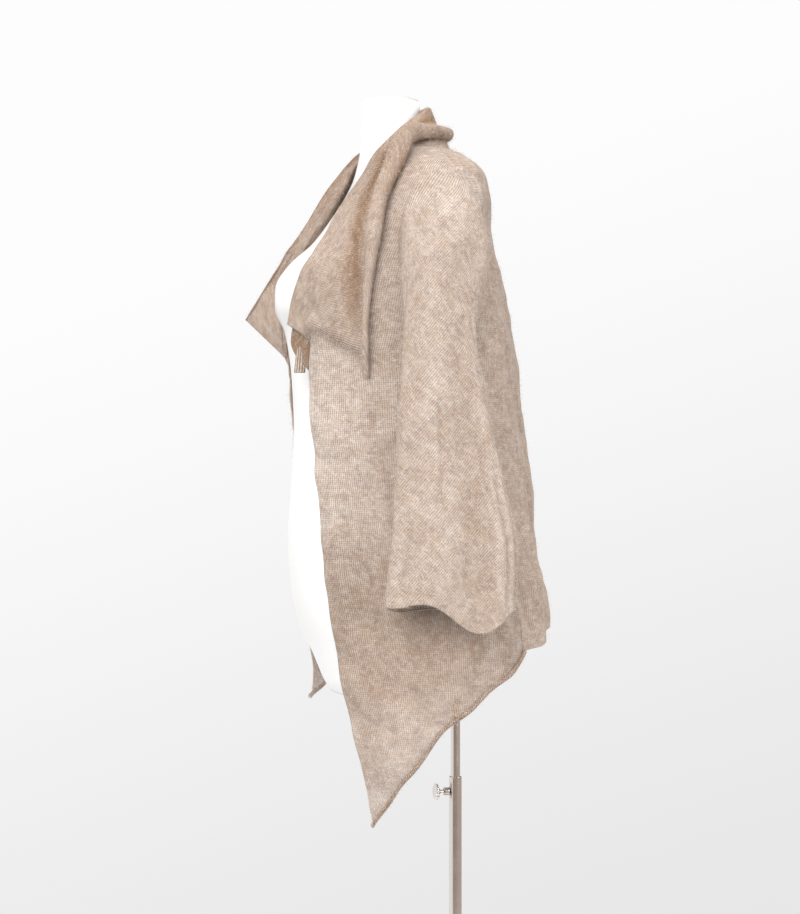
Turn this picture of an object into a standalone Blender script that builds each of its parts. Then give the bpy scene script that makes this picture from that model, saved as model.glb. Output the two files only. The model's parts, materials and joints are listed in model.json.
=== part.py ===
"""Open waterfall cardigan of fine brushed knit, worn by a limbless dress form on a telescopic stand.

Metres, +Z up. The form faces -Y and its left side is +X. The origin is on the floor, on the pole's axis.
"""

import math
from collections import namedtuple

import bmesh
import bpy
import numpy as np
from mathutils import Vector

# Cloth: the knit wall, the gap that parts sewn pieces, and the cloth's distance from the form.
KNIT_WALL = 0.0018
SEAM_GAP = 0.0004
ARMHOLE_GAP = 0.0006
COLLAR_GAP = 0.0006
EASE = 0.0045
RISE = 0.0030
NECK_EASE = 0.0060

# Heights that the cut is worked from.
NECK_TOP = 1.492
NECK_SEAM = 1.4165
SHOULDER_TIP = 1.378
UNDERARM = 1.185
COLLAR_END = 1.105
HIP_RING = 0.770
FREE_FROM = 1.345
FREE_OVER = 0.045
FLUTES_FULL = 0.740
SIDE_SEAM_FULL = 0.700

# Panel seams, as angles round the body from the front (0) to the back (180).
SHOULDER_ANGLE = 90.0
ARMHOLE_SPREAD = 17.0
SIDE_ANGLE_HEM = 124.0
HEM_RISE_BACK = 0.0667

# Stand.
BASE_RADIUS = 0.185
BASE_THICK = 0.006
BASE_BEVEL = 0.0015
LOWER_TUBE_RADIUS = 0.0095
LOWER_TUBE_BORE = 0.0075
LOWER_TUBE_TOP = 0.5290
LOWER_TUBE_PLUG = 0.006
POLE_RADIUS = 0.0070
POLE_FOOT = 0.135
SOCKET_RADIUS = 0.0200
SOCKET_FOOT = 0.652
SOCKET_TOP = 0.745
SOCKET_DEPTH = 0.060
SCREW_HEIGHT = 0.508
SCREW_HEAD_RADIUS = 0.0125
SCREW_SHANK_RADIUS = 0.0030
SCREW_LENGTH = 0.0160
SCREW_RIM = 0.0030
BOSS_RADIUS = 0.0058
BOSS_LENGTH = 0.0075
CLEARANCE = 0.0003
CAP_RADIUS = 0.0400
CAP_THICK = 0.0035
CAP_BEVEL = 0.0008

Section = namedtuple("Section", "height half_width side front back square")

# The form's level sections: half its width, the Y of its widest place, its front and its back.
FORM = [
    Section(NECK_TOP, 0.0420, -0.0960, -0.1390, -0.0540, 2.0),
    Section(1.4550, 0.0425, -0.0950, -0.1390, -0.0530, 2.0),
    Section(1.4320, 0.0540, -0.0880, -0.1390, -0.0400, 2.0),
    Section(1.4180, 0.0850, -0.0760, -0.1390, -0.0220, 2.0),
    Section(1.4050, 0.1250, -0.0640, -0.1400, -0.0020, 2.1),
    Section(1.3880, 0.1600, -0.0560, -0.1430, 0.0110, 2.2),
    Section(1.3650, 0.1820, -0.0520, -0.1530, 0.0190, 2.3),
    Section(1.3350, 0.1905, -0.0560, -0.1720, 0.0230, 2.4),
    Section(1.2950, 0.1890, -0.0660, -0.2020, 0.0230, 2.5),
    Section(1.2620, 0.1800, -0.0800, -0.2380, 0.0190, 2.5),
    Section(1.2310, 0.1660, -0.0940, -0.2570, 0.0120, 2.5),
    Section(1.2000, 0.1540, -0.1020, -0.2590, 0.0020, 2.4),
    Section(1.1650, 0.1430, -0.1100, -0.2450, -0.0100, 2.3),
    Section(1.1000, 0.1270, -0.1220, -0.2360, -0.0300, 2.2),
    Section(1.0300, 0.1210, -0.1280, -0.2330, -0.0380, 2.2),
    Section(0.9500, 0.1400, -0.1200, -0.2370, -0.0180, 2.2),
    Section(0.8700, 0.1600, -0.1080, -0.2400, 0.0120, 2.3),
    Section(0.8000, 0.1670, -0.1000, -0.2340, 0.0300, 2.4),
    Section(HIP_RING, 0.1670, -0.0980, -0.2280, 0.0320, 2.4),
    Section(0.7200, 0.1620, -0.0950, -0.2120, 0.0290, 2.4),
    Section(0.6600, 0.1500, -0.0950, -0.1920, 0.0220, 2.4),
]
FORM_FOOT_RIGHT = 0.715
FORM_FOOT_LEFT = 0.660
FORM_STEP = (-0.012, 0.030)
FORM_STEPS = 32
FORM_EXTRA_RINGS = (1.477, 1.425, 1.391, 1.371, 1.065, 0.910)

# The form's lower rings: the share of the way from the hip to the foot, and how far the outline draws in.
FootRing = namedtuple("FootRing", "share shrink")
FOOT_RINGS = [FootRing(0.35, 1.0), FootRing(0.70, 1.0), FootRing(0.92, 0.985), FootRing(1.0, 0.94), FootRing(1.0, 0.6)]

# The cloth where it hangs free of the form.
HANG = [
    Section(1.4500, 0.0300, -0.0900, -0.1200, -0.0500, 2.0),
    Section(1.3600, 0.1800, -0.0600, -0.1500, -0.0050, 2.3),
    Section(1.3000, 0.1950, -0.0700, -0.2060, 0.0300, 2.4),
    Section(1.2310, 0.1980, -0.0780, -0.2630, 0.0500, 2.4),
    Section(1.1650, 0.1990, -0.0820, -0.2620, 0.0660, 2.3),
    Section(1.0900, 0.1995, -0.0820, -0.2560, 0.0800, 2.2),
    Section(0.9700, 0.2020, -0.0800, -0.2500, 0.0890, 2.2),
    Section(0.8500, 0.2060, -0.0760, -0.2440, 0.0980, 2.2),
    Section(0.7400, 0.2100, -0.0700, -0.2380, 0.1160, 2.2),
    Section(0.6200, 0.2100, -0.0700, -0.2320, 0.1160, 2.2),
    Section(0.4900, 0.2060, -0.0700, -0.2200, 0.1100, 2.2),
]

# The fronts' free edges, and above the collar's end their neckline seams.
FrontEdge = namedtuple("FrontEdge", "height left right")
FRONT_EDGES = [
    FrontEdge(NECK_SEAM, 86.0, 86.0),
    FrontEdge(1.4100, 62.0, 64.0),
    FrontEdge(1.4000, 52.0, 55.0),
    FrontEdge(1.3800, 47.0, 53.0),
    FrontEdge(1.3400, 44.0, 53.0),
    FrontEdge(1.3000, 43.5, 54.0),
    FrontEdge(1.2500, 41.5, 54.0),
    FrontEdge(1.1950, 39.0, 53.5),
    FrontEdge(1.1400, 37.0, 52.0),
    FrontEdge(COLLAR_END, 35.0, 50.0),
    FrontEdge(0.9700, 38.0, 52.5),
    FrontEdge(0.8500, 41.0, 56.0),
    FrontEdge(0.7400, 44.5, 59.0),
    FrontEdge(0.6250, 52.5, 62.0),
    FrontEdge(0.4950, 62.1, 62.0),
]

# Hem heights of each front, by the share of the way from its front edge to its side seam.
Hem = namedtuple("Hem", "share height")
HEM_LEFT = [Hem(0.0, 0.4957), Hem(0.25, 0.555), Hem(0.5, 0.620), Hem(0.75, 0.672), Hem(1.0, 0.7213)]
HEM_RIGHT = [Hem(0.0, 0.6245), Hem(0.4, 0.690), Hem(1.0, HEM_LEFT[-1].height + HEM_RISE_BACK)]

# Flutes that the hanging cloth falls into: where, how wide, how proud at the hem, and where they start.
Flute = namedtuple("Flute", "angle width depth start")
FLUTES = [
    Flute(-150.0, 13.0, 0.016, 1.20),
    Flute(-118.0, 13.0, 0.010, 1.05),
    Flute(-82.0, 15.0, 0.006, 1.00),
    Flute(58.0, 14.0, -0.006, 1.00),
    Flute(84.0, 14.0, -0.008, 1.05),
    Flute(112.0, 12.0, 0.006, 0.98),
    Flute(138.0, 12.0, 0.012, 1.10),
    Flute(164.0, 13.0, 0.014, 1.22),
    Flute(186.0, 11.0, -0.008, 1.15),
]

# The sleeve from below its armhole seam to its cuff: outer and inner sides, front and back folds.
SleeveRing = namedtuple("SleeveRing", "outer_x outer_z inner_x inner_z front back dip")
SleeveRow = namedtuple("SleeveRow", ("place",) + SleeveRing._fields)
SLEEVE = [
    SleeveRing(0.2060, 1.3660, 0.2090, 1.1900, -0.1200, -0.0200, 0.0),
    SleeveRing(0.2270, 1.3400, 0.2140, 1.1720, -0.1240, -0.0180, 0.0),
    SleeveRing(0.2420, 1.2950, 0.2160, 1.1400, -0.1310, -0.0230, 0.0),
    SleeveRing(0.2500, 1.2100, 0.2165, 1.0950, -0.1350, -0.0380, 0.0),
    SleeveRing(0.2545, 1.1050, 0.2175, 1.0300, -0.1400, -0.0240, 0.0),
    SleeveRing(0.2575, 0.9900, 0.2190, 0.9450, -0.1460, -0.0050, 0.004),
    SleeveRing(0.2605, 0.8850, 0.2205, 0.8600, -0.1530, 0.0150, 0.012),
    SleeveRing(0.2620, 0.8000, 0.2220, 0.7880, -0.1620, 0.0150, 0.038),
]

DIP_TURN = math.radians(25.0)
DIP_NARROWS = 6

# Long soft folds of the hanging sleeve: where round it, how wide, how proud, and between which rings.
SleeveFold = namedtuple("SleeveFold", "turn width depth first last")
SLEEVE_FOLDS = [
    SleeveFold(18.0, 30.0, 0.0060, 2.2, 7.5),
    SleeveFold(-22.0, 26.0, -0.0050, 3.0, 7.8),
    SleeveFold(-52.0, 24.0, 0.0050, 3.6, 8.0),
    SleeveFold(160.0, 34.0, 0.0050, 3.0, 7.8),
]

# The collar from its right end, round the neck, to its left end. Seam is the way along the neckline.
CollarStation = namedtuple("CollarStation", "seam roll_x roll_y roll_z edge_x edge_y edge_z fold curl")
COLLAR = [
    CollarStation(-1.00, -0.1450, -0.2200, 1.1350, -0.1640, -0.2790, 1.1930, 0.003, 0.003),
    CollarStation(-0.85, -0.1420, -0.2200, 1.2050, -0.1600, -0.2550, 1.2300, 0.003, 0.003),
    CollarStation(-0.68, -0.1320, -0.2060, 1.2700, -0.1500, -0.2280, 1.2720, 0.003, 0.003),
    CollarStation(-0.50, -0.0880, -0.1720, 1.3400, -0.1300, -0.1950, 1.3220, 0.004, 0.004),
    CollarStation(-0.34, -0.0660, -0.1380, 1.4000, -0.1080, -0.1480, 1.3940, 0.004, 0.006),
    CollarStation(-0.22, -0.0560, -0.0900, 1.4560, -0.0960, -0.0960, 1.4340, 0.004, 0.008),
    CollarStation(-0.10, -0.0360, -0.0550, 1.4800, -0.0560, -0.0400, 1.4420, 0.004, 0.008),
    CollarStation(0.00, 0.0000, -0.0440, 1.4880, 0.0000, -0.0270, 1.4440, 0.004, 0.008),
    CollarStation(0.10, 0.0360, -0.0550, 1.4800, 0.0560, -0.0400, 1.4380, 0.004, 0.008),
    CollarStation(0.22, 0.0540, -0.0920, 1.4480, 0.0980, -0.0860, 1.4240, 0.004, 0.010),
    CollarStation(0.34, 0.0590, -0.1380, 1.3920, 0.1360, -0.1110, 1.3900, 0.005, 0.011),
    CollarStation(0.50, 0.0680, -0.1780, 1.3380, 0.1620, -0.1400, 1.3260, 0.006, 0.010),
    CollarStation(0.68, 0.1020, -0.2270, 1.2660, 0.1850, -0.1620, 1.2540, 0.006, 0.007),
    CollarStation(0.84, 0.0950, -0.2520, 1.2160, 0.1870, -0.1700, 1.1600, 0.006, 0.005),
    CollarStation(1.00, 0.0900, -0.2610, 1.1690, 0.1850, -0.1690, 1.0930, 0.006, 0.004),
]
FALL_GAP = 0.0065
FALL_LIFT = 0.0040
CURL_TURN = math.radians(230.0)
NECK_WAY = 0.22
NECK_TURN = 86.0

# Rows of the walls: at the shoulder, down the armhole, from there to the hem, and across the panels.
SHOULDER_ROWS = 5
ARMHOLE_ROWS = 10
ROWS_BELOW = 10
FRONT_COLUMNS = 13
BACK_COLUMNS = 25
RINGS_BETWEEN = 2

# Points across the collar: up its stand, over its roll line, down its fall and round its curl.
STAND_POINTS = 4
ROLL_POINTS = 6
FALL_POINTS = 7
CURL_POINTS = 6


def column(rows, key, value, name):
    """The smooth curve of one column of a table, read at value. It doesn't overshoot its rows."""
    known = np.array([getattr(row, key) for row in rows], float)
    wanted = np.array([getattr(row, name) for row in rows], float)
    order = np.argsort(known)
    known, wanted = known[order], wanted[order]
    value = min(max(value, known[0]), known[-1])
    at = int(min(max(np.searchsorted(known, value) - 1, 0), len(known) - 2))
    slope = np.diff(wanted) / np.diff(known)
    ends = np.empty(len(known))
    ends[0], ends[-1] = slope[0], slope[-1]
    both = slope[:-1] * slope[1:]
    ends[1:-1] = np.where(both > 0, 2 * both / (slope[:-1] + slope[1:] + 1e-12), 0.0)
    step = known[at + 1] - known[at]
    t = (value - known[at]) / step
    rest = 1 - t
    near = (1 + 2 * t) * rest * rest * wanted[at] + t * rest * rest * step * ends[at]
    far = t * t * (3 - 2 * t) * wanted[at + 1] - t * t * rest * step * ends[at + 1]
    return float(near + far)


def ease_in(low, high, value):
    """0 below low, 1 above high, smooth between."""
    t = min(max((value - low) / (high - low), 0.0), 1.0)
    return t * t * (3 - 2 * t)


def section_at(rows, height):
    """One level section of a table of sections."""
    names = Section._fields[1:]
    return Section(height, *(column(rows, "height", height, name) for name in names))


def cloth_section(height):
    """The cloth's level section: on the form above, hanging free of it below."""
    form = section_at(FORM, height - RISE)
    hang = section_at(HANG, height)
    free = ease_in(0.0, 1.0, (FREE_FROM - height) / FREE_OVER)
    side = form.side + (hang.side - form.side) * free
    return Section(
        height,
        max(form.half_width + EASE, hang.half_width),
        side,
        min(form.front - EASE, hang.front),
        max(form.back + EASE, hang.back),
        form.square + (hang.square - form.square) * free,
    )


def radius(section, angle):
    """Distance from a section's middle to its outline, at an angle from the front in degrees."""
    turn = math.radians(angle)
    across, along = abs(math.sin(turn)), math.cos(turn)
    depth = section.side - section.front if along > 0 else section.back - section.side
    power = section.square
    return ((across / section.half_width) ** power + (abs(along) / depth) ** power) ** (-1 / power)


def flutes(height, angle):
    """How far the hanging folds carry the cloth out at a place."""
    out = 0.0
    for flute in FLUTES:
        away = abs((angle - flute.angle + 180.0) % 360.0 - 180.0) / flute.width
        if away < 1.0:
            out += flute.depth * math.cos(away * math.pi / 2) ** 2 * ease_in(flute.start, FLUTES_FULL, height)
    return out


def round_the_axis(section, angle, distance):
    turn = math.radians(angle)
    return Vector((math.sin(turn) * distance, section.side - math.cos(turn) * distance, section.height))


def cloth_point(height, angle):
    """A point of the cardigan's body."""
    section = cloth_section(height)
    return round_the_axis(section, angle, radius(section, angle) + flutes(height, angle))


def cloth_normal(height, angle):
    """The direction out of the cardigan's body at a place."""
    up = cloth_point(height + 0.0005, angle) - cloth_point(height - 0.0005, angle)
    round_it = cloth_point(height, angle + 0.2) - cloth_point(height, angle - 0.2)
    return round_it.cross(up).normalized()


def pushed_clear(point, rows_of, gap, lift=0.0):
    """The point, moved out from the middle of the level section below it until it is gap clear."""
    section = rows_of(point.z)
    away = Vector((point.x, point.y - section.side))
    angle = math.degrees(math.atan2(away.x, -away.y))
    least = radius(section, angle) + gap + lift
    if away.length >= least:
        return point
    return round_the_axis(section, angle, least)


def front_angle(height, side):
    """Angle of a front's free edge or neckline seam. Side is 1 on the left and -1 on the right."""
    return side * column(FRONT_EDGES, "height", height, "left" if side > 0 else "right")


def armhole_half_angle(height):
    """Half the armhole's opening at a height, in degrees."""
    middle, half = (SHOULDER_TIP + UNDERARM) / 2, (SHOULDER_TIP - UNDERARM) / 2
    return ARMHOLE_SPREAD * math.sqrt(max(0.0, 1 - ((height - middle) / half) ** 2))


def side_angle(height, seam_side):
    """Angle of a panel's outer boundary: shoulder seam, armhole, then side seam, less half a seam."""
    if height >= UNDERARM:
        bare = SHOULDER_ANGLE + seam_side * armhole_half_angle(height)
    else:
        bare = SHOULDER_ANGLE + (SIDE_ANGLE_HEM - SHOULDER_ANGLE) * ease_in(UNDERARM, SIDE_SEAM_FULL, height)
    half_seam = math.degrees(SEAM_GAP / 2 / max(cloth_section(height).half_width, 0.03))
    return bare + seam_side * half_seam


def panel_heights(hem):
    """Heights of a panel's rows, from its neck seam to a hem."""
    shoulder = np.linspace(NECK_SEAM, SHOULDER_TIP, SHOULDER_ROWS)
    turn = np.linspace(0, math.pi, ARMHOLE_ROWS + 1)[1:]
    armhole = (SHOULDER_TIP + UNDERARM) / 2 + (SHOULDER_TIP - UNDERARM) / 2 * np.cos(turn)
    return [*shoulder, *armhole, *np.linspace(UNDERARM, hem, ROWS_BELOW + 1)[1:]]


def panel(lines, shares, ends):
    """A panel's points and outward directions, from heights down its columns and the ends of its rows."""
    points, outs = [], []
    for heights in zip(*lines):
        places = []
        for share, height in zip(shares, heights):
            start, end = ends(height)
            places.append((height, start + (end - start) * share))
        points.append([cloth_point(*place) for place in places])
        outs.append([cloth_normal(*place) for place in places])
    return points, outs


def front_panel(side):
    """A front, with rows from its front edge to its side."""
    hems = HEM_LEFT if side > 0 else HEM_RIGHT
    shares = np.linspace(0, 1, FRONT_COLUMNS)
    lines = [panel_heights(column(hems, "share", share, "height")) for share in shares]
    return panel(lines, shares, lambda height: (front_angle(height, side), side * side_angle(height, -1)))


def back_panel():
    """The back, with rows from its left side to its right."""
    shares = np.linspace(0, 1, BACK_COLUMNS)
    hem = HEM_LEFT[-1].height
    lines = [panel_heights(hem + HEM_RISE_BACK * share) for share in shares]
    return panel(lines, shares, lambda height: (side_angle(height, 1), 360.0 - side_angle(height, 1)))


def armhole_ring(side):
    """The sleeve's first ring, inside the armhole's edge on the body's surface.

    At the shoulder the two walls run on in line. Lower down the sleeve stands off, so its wall needs more room.
    """
    middle, half = (SHOULDER_TIP + UNDERARM) / 2, (SHOULDER_TIP - UNDERARM) / 2
    ring = []
    for turn in np.linspace(0, 2 * math.pi, 2 * ARMHOLE_ROWS, endpoint=False):
        stands_off = 1 - max(0.0, math.cos(turn)) ** 3
        inset = (ARMHOLE_GAP + KNIT_WALL / 2 * stands_off) / half
        height = middle + half * (1 - inset) * math.cos(turn)
        angle = SHOULDER_ANGLE - ARMHOLE_SPREAD * (1 - 2 * inset) * math.sin(turn)
        ring.append(cloth_point(height, side * angle))
    return ring


def sleeve_folds(place, turn):
    """How far the sleeve's folds carry its wall sideways at a place."""
    out = 0.0
    for fold in SLEEVE_FOLDS:
        away = abs((math.degrees(turn) - fold.turn + 180.0) % 360.0 - 180.0) / fold.width
        if away < 1.0 and fold.first < place < fold.last:
            fade = math.sin(math.pi * (place - fold.first) / (fold.last - fold.first))
            out += fold.depth * math.cos(away * math.pi / 2) ** 2 * fade
    return out


def sleeve_rings(side):
    """Rings of a sleeve, from its armhole to its cuff."""
    steps = 2 * ARMHOLE_ROWS
    rings = [armhole_ring(side)]
    places = np.linspace(0, len(SLEEVE) - 1, (len(SLEEVE) - 1) * RINGS_BETWEEN + 1)
    numbered = [SleeveRow(i, *row) for i, row in enumerate(SLEEVE)]
    for place in places:
        size = {name: column(numbered, "place", place, name) for name in SleeveRing._fields}
        outer = Vector((size["outer_x"], 0, size["outer_z"]))
        inner = Vector((size["inner_x"], 0, size["inner_z"]))
        middle, half = (outer + inner) / 2, (outer - inner) / 2
        middle.y, depth = (size["front"] + size["back"]) / 2, (size["back"] - size["front"]) / 2
        ring = []
        for turn in np.linspace(0, 2 * math.pi, steps, endpoint=False):
            point = middle + half * math.cos(turn)
            point.y -= depth * math.sin(turn)
            point.z -= size["dip"] * max(0.0, math.cos(turn + DIP_TURN)) ** DIP_NARROWS
            point += Vector((math.cos(turn), 0, 0)) * sleeve_folds(place, turn)
            point.x *= side
            ring.append(point)
        rings.append(ring)
    return rings


def neckline(way):
    """A place of the collar's seam. Way runs from the right end (-1) by the back (0) to the left end (1)."""
    side = 1 if way >= 0 else -1
    share = abs(way)
    if share < NECK_WAY:
        return NECK_SEAM + COLLAR_GAP, side * (180.0 - (180.0 - NECK_TURN) * share / NECK_WAY)
    height = NECK_SEAM + (COLLAR_END - NECK_SEAM) * (share - NECK_WAY) / (1 - NECK_WAY)
    angle = front_angle(height, side)
    apart = math.degrees(COLLAR_GAP / radius(cloth_section(height), angle))
    return height + COLLAR_GAP, angle - side * apart


def collar_ways():
    """Ways along the collar at which the panels' own rows and columns end on its seam."""
    ways = []
    for side, hems in ((-1, HEM_RIGHT), (1, HEM_LEFT)):
        heights = [h for h in panel_heights(hems[0].height) if h > COLLAR_END + KNIT_WALL] + [COLLAR_END]
        spans = [(NECK_SEAM - h) / (NECK_SEAM - COLLAR_END) for h in heights]
        ways += [side * (NECK_WAY + (1 - NECK_WAY) * span) for span in spans]
    for angle in np.linspace(side_angle(NECK_SEAM, 1), 360.0 - side_angle(NECK_SEAM, 1), BACK_COLUMNS)[1:-1:2]:
        ways.append((180.0 - angle) / (180.0 - NECK_TURN) * NECK_WAY)
    return sorted(ways)


def collar_section(way, ahead):
    """Points across the collar: up its stand, over its roll line, down its fall and round its curled edge."""
    read = {name: column(COLLAR, "seam", way, name) for name in CollarStation._fields}
    roll = Vector((read["roll_x"], read["roll_y"], read["roll_z"]))
    edge = Vector((read["edge_x"], read["edge_y"], read["edge_z"]))
    on = {name: column(COLLAR, "seam", ahead, name) for name in CollarStation._fields}
    back = {name: column(COLLAR, "seam", 2 * way - ahead, name) for name in CollarStation._fields}
    along = Vector([on[f"roll_{axis}"] - back[f"roll_{axis}"] for axis in "xyz"]).normalized()
    down = (edge - roll).normalized()
    out = along.cross(down).normalized()
    fold, curl = read["fold"], read["curl"]
    hub = roll + down * fold
    seam = cloth_point(*neckline(way))
    points = []
    for share in np.linspace(0, 1, STAND_POINTS + 1)[:-1]:
        points.append(seam.lerp(hub - out * fold, share))
    for turn in np.linspace(0, math.pi, ROLL_POINTS):
        points.append(hub - out * fold * math.cos(turn) - down * fold * math.sin(turn))
    start = points[-1]
    for share in np.linspace(0, 1, FALL_POINTS + 1)[1:]:
        points.append(start.lerp(edge, share))
    axis = edge + out * curl
    for turn in np.linspace(0, CURL_TURN, CURL_POINTS + 1)[1:]:
        points.append(axis - out * curl * math.cos(turn) + down * curl * math.sin(turn))
    return points


def collar_rows():
    """Points across the collar at each of its ways, and the directions out along its seam."""
    rows, outs = [], []
    for way in collar_ways():
        row = collar_section(way, way + 0.01)
        clear = [row[0]]
        for point in row[1:]:
            point = pushed_clear(point, lambda z: section_at(FORM, z - RISE), NECK_EASE)
            clear.append(point)
        for number in range(STAND_POINTS + ROLL_POINTS, len(row)):
            clear[number] = pushed_clear(clear[number], lambda z: cloth_section(z - FALL_LIFT), FALL_GAP)
        rows.append(clear)
        outs.append(cloth_normal(*neckline(way)))
    return rows, outs


def wall(rows, around=False, outs=None, first_column=None):
    """A closed wall of the knit's thickness on a grid of points, as a bmesh. Around joins each row's ends.

    The directions through the wall come from the grid, or where a seam gives them from the body's surface.
    """
    grid = np.array([[tuple(p) for p in row] for row in rows])
    down = np.gradient(grid, axis=0)
    if around:
        across = (np.roll(grid, -1, axis=1) - np.roll(grid, 1, axis=1)) / 2
    else:
        across = np.gradient(grid, axis=1)
    out = np.cross(across, down)
    size = np.linalg.norm(out, axis=2, keepdims=True)
    out = out / np.maximum(size, 1e-12)
    for given, where in ((outs, np.s_[:, :]), (first_column, np.s_[:, 0])):
        if given is not None:
            given = np.array(given)
            out[where] = given * np.sign((out[where] * given).sum())
    mesh = bmesh.new()
    faces = {}
    for side in (1, -1):
        points = grid + out * side * KNIT_WALL / 2
        faces[side] = [[mesh.verts.new(p) for p in row] for row in points]
    high, wide = grid.shape[:2]
    last = wide if around else wide - 1
    for i in range(high - 1):
        for j in range(last):
            k = (j + 1) % wide
            for side, flip in ((1, False), (-1, True)):
                corner = faces[side]
                quad = [corner[i][j], corner[i + 1][j], corner[i + 1][k], corner[i][k]]
                mesh.faces.new(quad[::-1] if flip else quad)
    rims = [(0, j) for j in range(wide)], [(high - 1, j) for j in range(wide)]
    for number, rim in enumerate(rims):
        for j in range(last):
            a, b = rim[j], rim[(j + 1) % wide]
            quad = [faces[1][a[0]][a[1]], faces[1][b[0]][b[1]], faces[-1][b[0]][b[1]], faces[-1][a[0]][a[1]]]
            mesh.faces.new(quad if number == 0 else quad[::-1])
    if not around:
        for j, flip in ((0, True), (wide - 1, False)):
            for i in range(high - 1):
                quad = [faces[1][i][j], faces[1][i + 1][j], faces[-1][i + 1][j], faces[-1][i][j]]
                mesh.faces.new(quad if not flip else quad[::-1])
    bmesh.ops.recalc_face_normals(mesh, faces=mesh.faces)
    return mesh


def finish(name, mesh, material, smooth_below=40.0):
    """Makes a named object of a bmesh."""
    data = bpy.data.meshes.new(name)
    mesh.to_mesh(data)
    mesh.free()
    data.shade_smooth()
    data.set_sharp_from_angle(angle=math.radians(smooth_below))
    data.materials.append(material)
    thing = bpy.data.objects.new(name, data)
    bpy.context.scene.collection.objects.link(thing)
    return thing


def surface(name, colour, roughness, metallic=0.0):
    material = bpy.data.materials.new(name)
    material.use_nodes = True
    shader = material.node_tree.nodes["Principled BSDF"]
    shader.inputs["Base Color"].default_value = (*colour, 1.0)
    shader.inputs["Roughness"].default_value = roughness
    shader.inputs["Metallic"].default_value = metallic
    return material


def turned(profile, steps):
    """A closed solid turned about Z from a profile of (radius, height) corners, listed outside first, upward."""
    mesh = bmesh.new()
    rings = []
    for reach, height in profile:
        if reach == 0:
            rings.append([mesh.verts.new((0, 0, height))])
            continue
        turns = np.linspace(0, 2 * math.pi, steps, endpoint=False)
        rings.append([mesh.verts.new((reach * math.cos(t), reach * math.sin(t), height)) for t in turns])
    for first, second in zip(rings, rings[1:] + rings[:1]):
        if len(first) == len(second) == 1:
            continue
        for j in range(steps):
            k = (j + 1) % steps
            quad = [first[j % len(first)], first[k % len(first)], second[k % len(second)], second[j % len(second)]]
            mesh.faces.new(list(dict.fromkeys(quad)))
    bmesh.ops.recalc_face_normals(mesh, faces=mesh.faces)
    return mesh


def form_foot(x):
    """Height of the form's underside: it ends higher on the right than on the left."""
    return FORM_FOOT_RIGHT + (FORM_FOOT_LEFT - FORM_FOOT_RIGHT) * ease_in(*FORM_STEP, x)


def form_rings():
    """Level rings of the form down to the hip, then rings that end on its stepped underside."""
    heights = [row.height for row in FORM if row.height >= HIP_RING]
    rings = []
    for height in sorted([*heights, *FORM_EXTRA_RINGS], reverse=True):
        section = section_at(FORM, height)
        angles = np.linspace(0, 360, FORM_STEPS, endpoint=False)
        rings.append([round_the_axis(section, a, radius(section, a)) for a in angles])
    hip_ring = rings[-1]
    for share, shrink in FOOT_RINGS:
        ring = []
        for hip in hip_ring:
            height = HIP_RING + (form_foot(hip.x) - HIP_RING) * share
            section = section_at(FORM, height)
            angle = math.degrees(math.atan2(hip.x, section.side - hip.y))
            point = round_the_axis(section, angle, radius(section, angle) * shrink)
            ring.append(Vector((point.x, point.y, height if shrink > 0.9 else form_foot(point.x))))
        rings.append(ring)
    return rings


def bore_out(thing, name, profile, steps, location=(0, 0, 0), rotation=(0, 0, 0)):
    """Cuts a turned shape out of an object."""
    cutter = finish(name, turned(profile, steps), thing.data.materials[0])
    cutter.location = location
    cutter.rotation_euler = rotation
    cutter.hide_render = True
    cutter.display_type = "WIRE"
    cut = thing.modifiers.new(name, "BOOLEAN")
    cut.object = cutter
    cut.operation = "DIFFERENCE"


def make_form(material):
    """The smooth torso, with a blind bore in its underside for the pole's socket."""
    steps = FORM_STEPS
    mesh = bmesh.new()
    rings = [[mesh.verts.new(p) for p in ring] for ring in form_rings()]
    for first, second in zip(rings, rings[1:]):
        for j in range(steps):
            k = (j + 1) % steps
            mesh.faces.new([first[j], first[k], second[k], second[j]])
    for ring in (rings[0], rings[-1]):
        middle = sum((v.co for v in ring), Vector()) / steps
        if ring is rings[-1]:
            middle.z = form_foot(middle.x)
        hub = mesh.verts.new(middle)
        for j in range(steps):
            mesh.faces.new([ring[j], ring[(j + 1) % steps], hub])
    bmesh.ops.recalc_face_normals(mesh, faces=mesh.faces)
    form = finish("dress_form", mesh, material)
    bore = SOCKET_RADIUS + CLEARANCE
    below = SOCKET_FOOT - SOCKET_DEPTH
    above = SOCKET_TOP + CLEARANCE
    bore_out(form, "socket_bore", [(bore, below), (bore, above), (0, above), (0, below)], 24)


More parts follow.
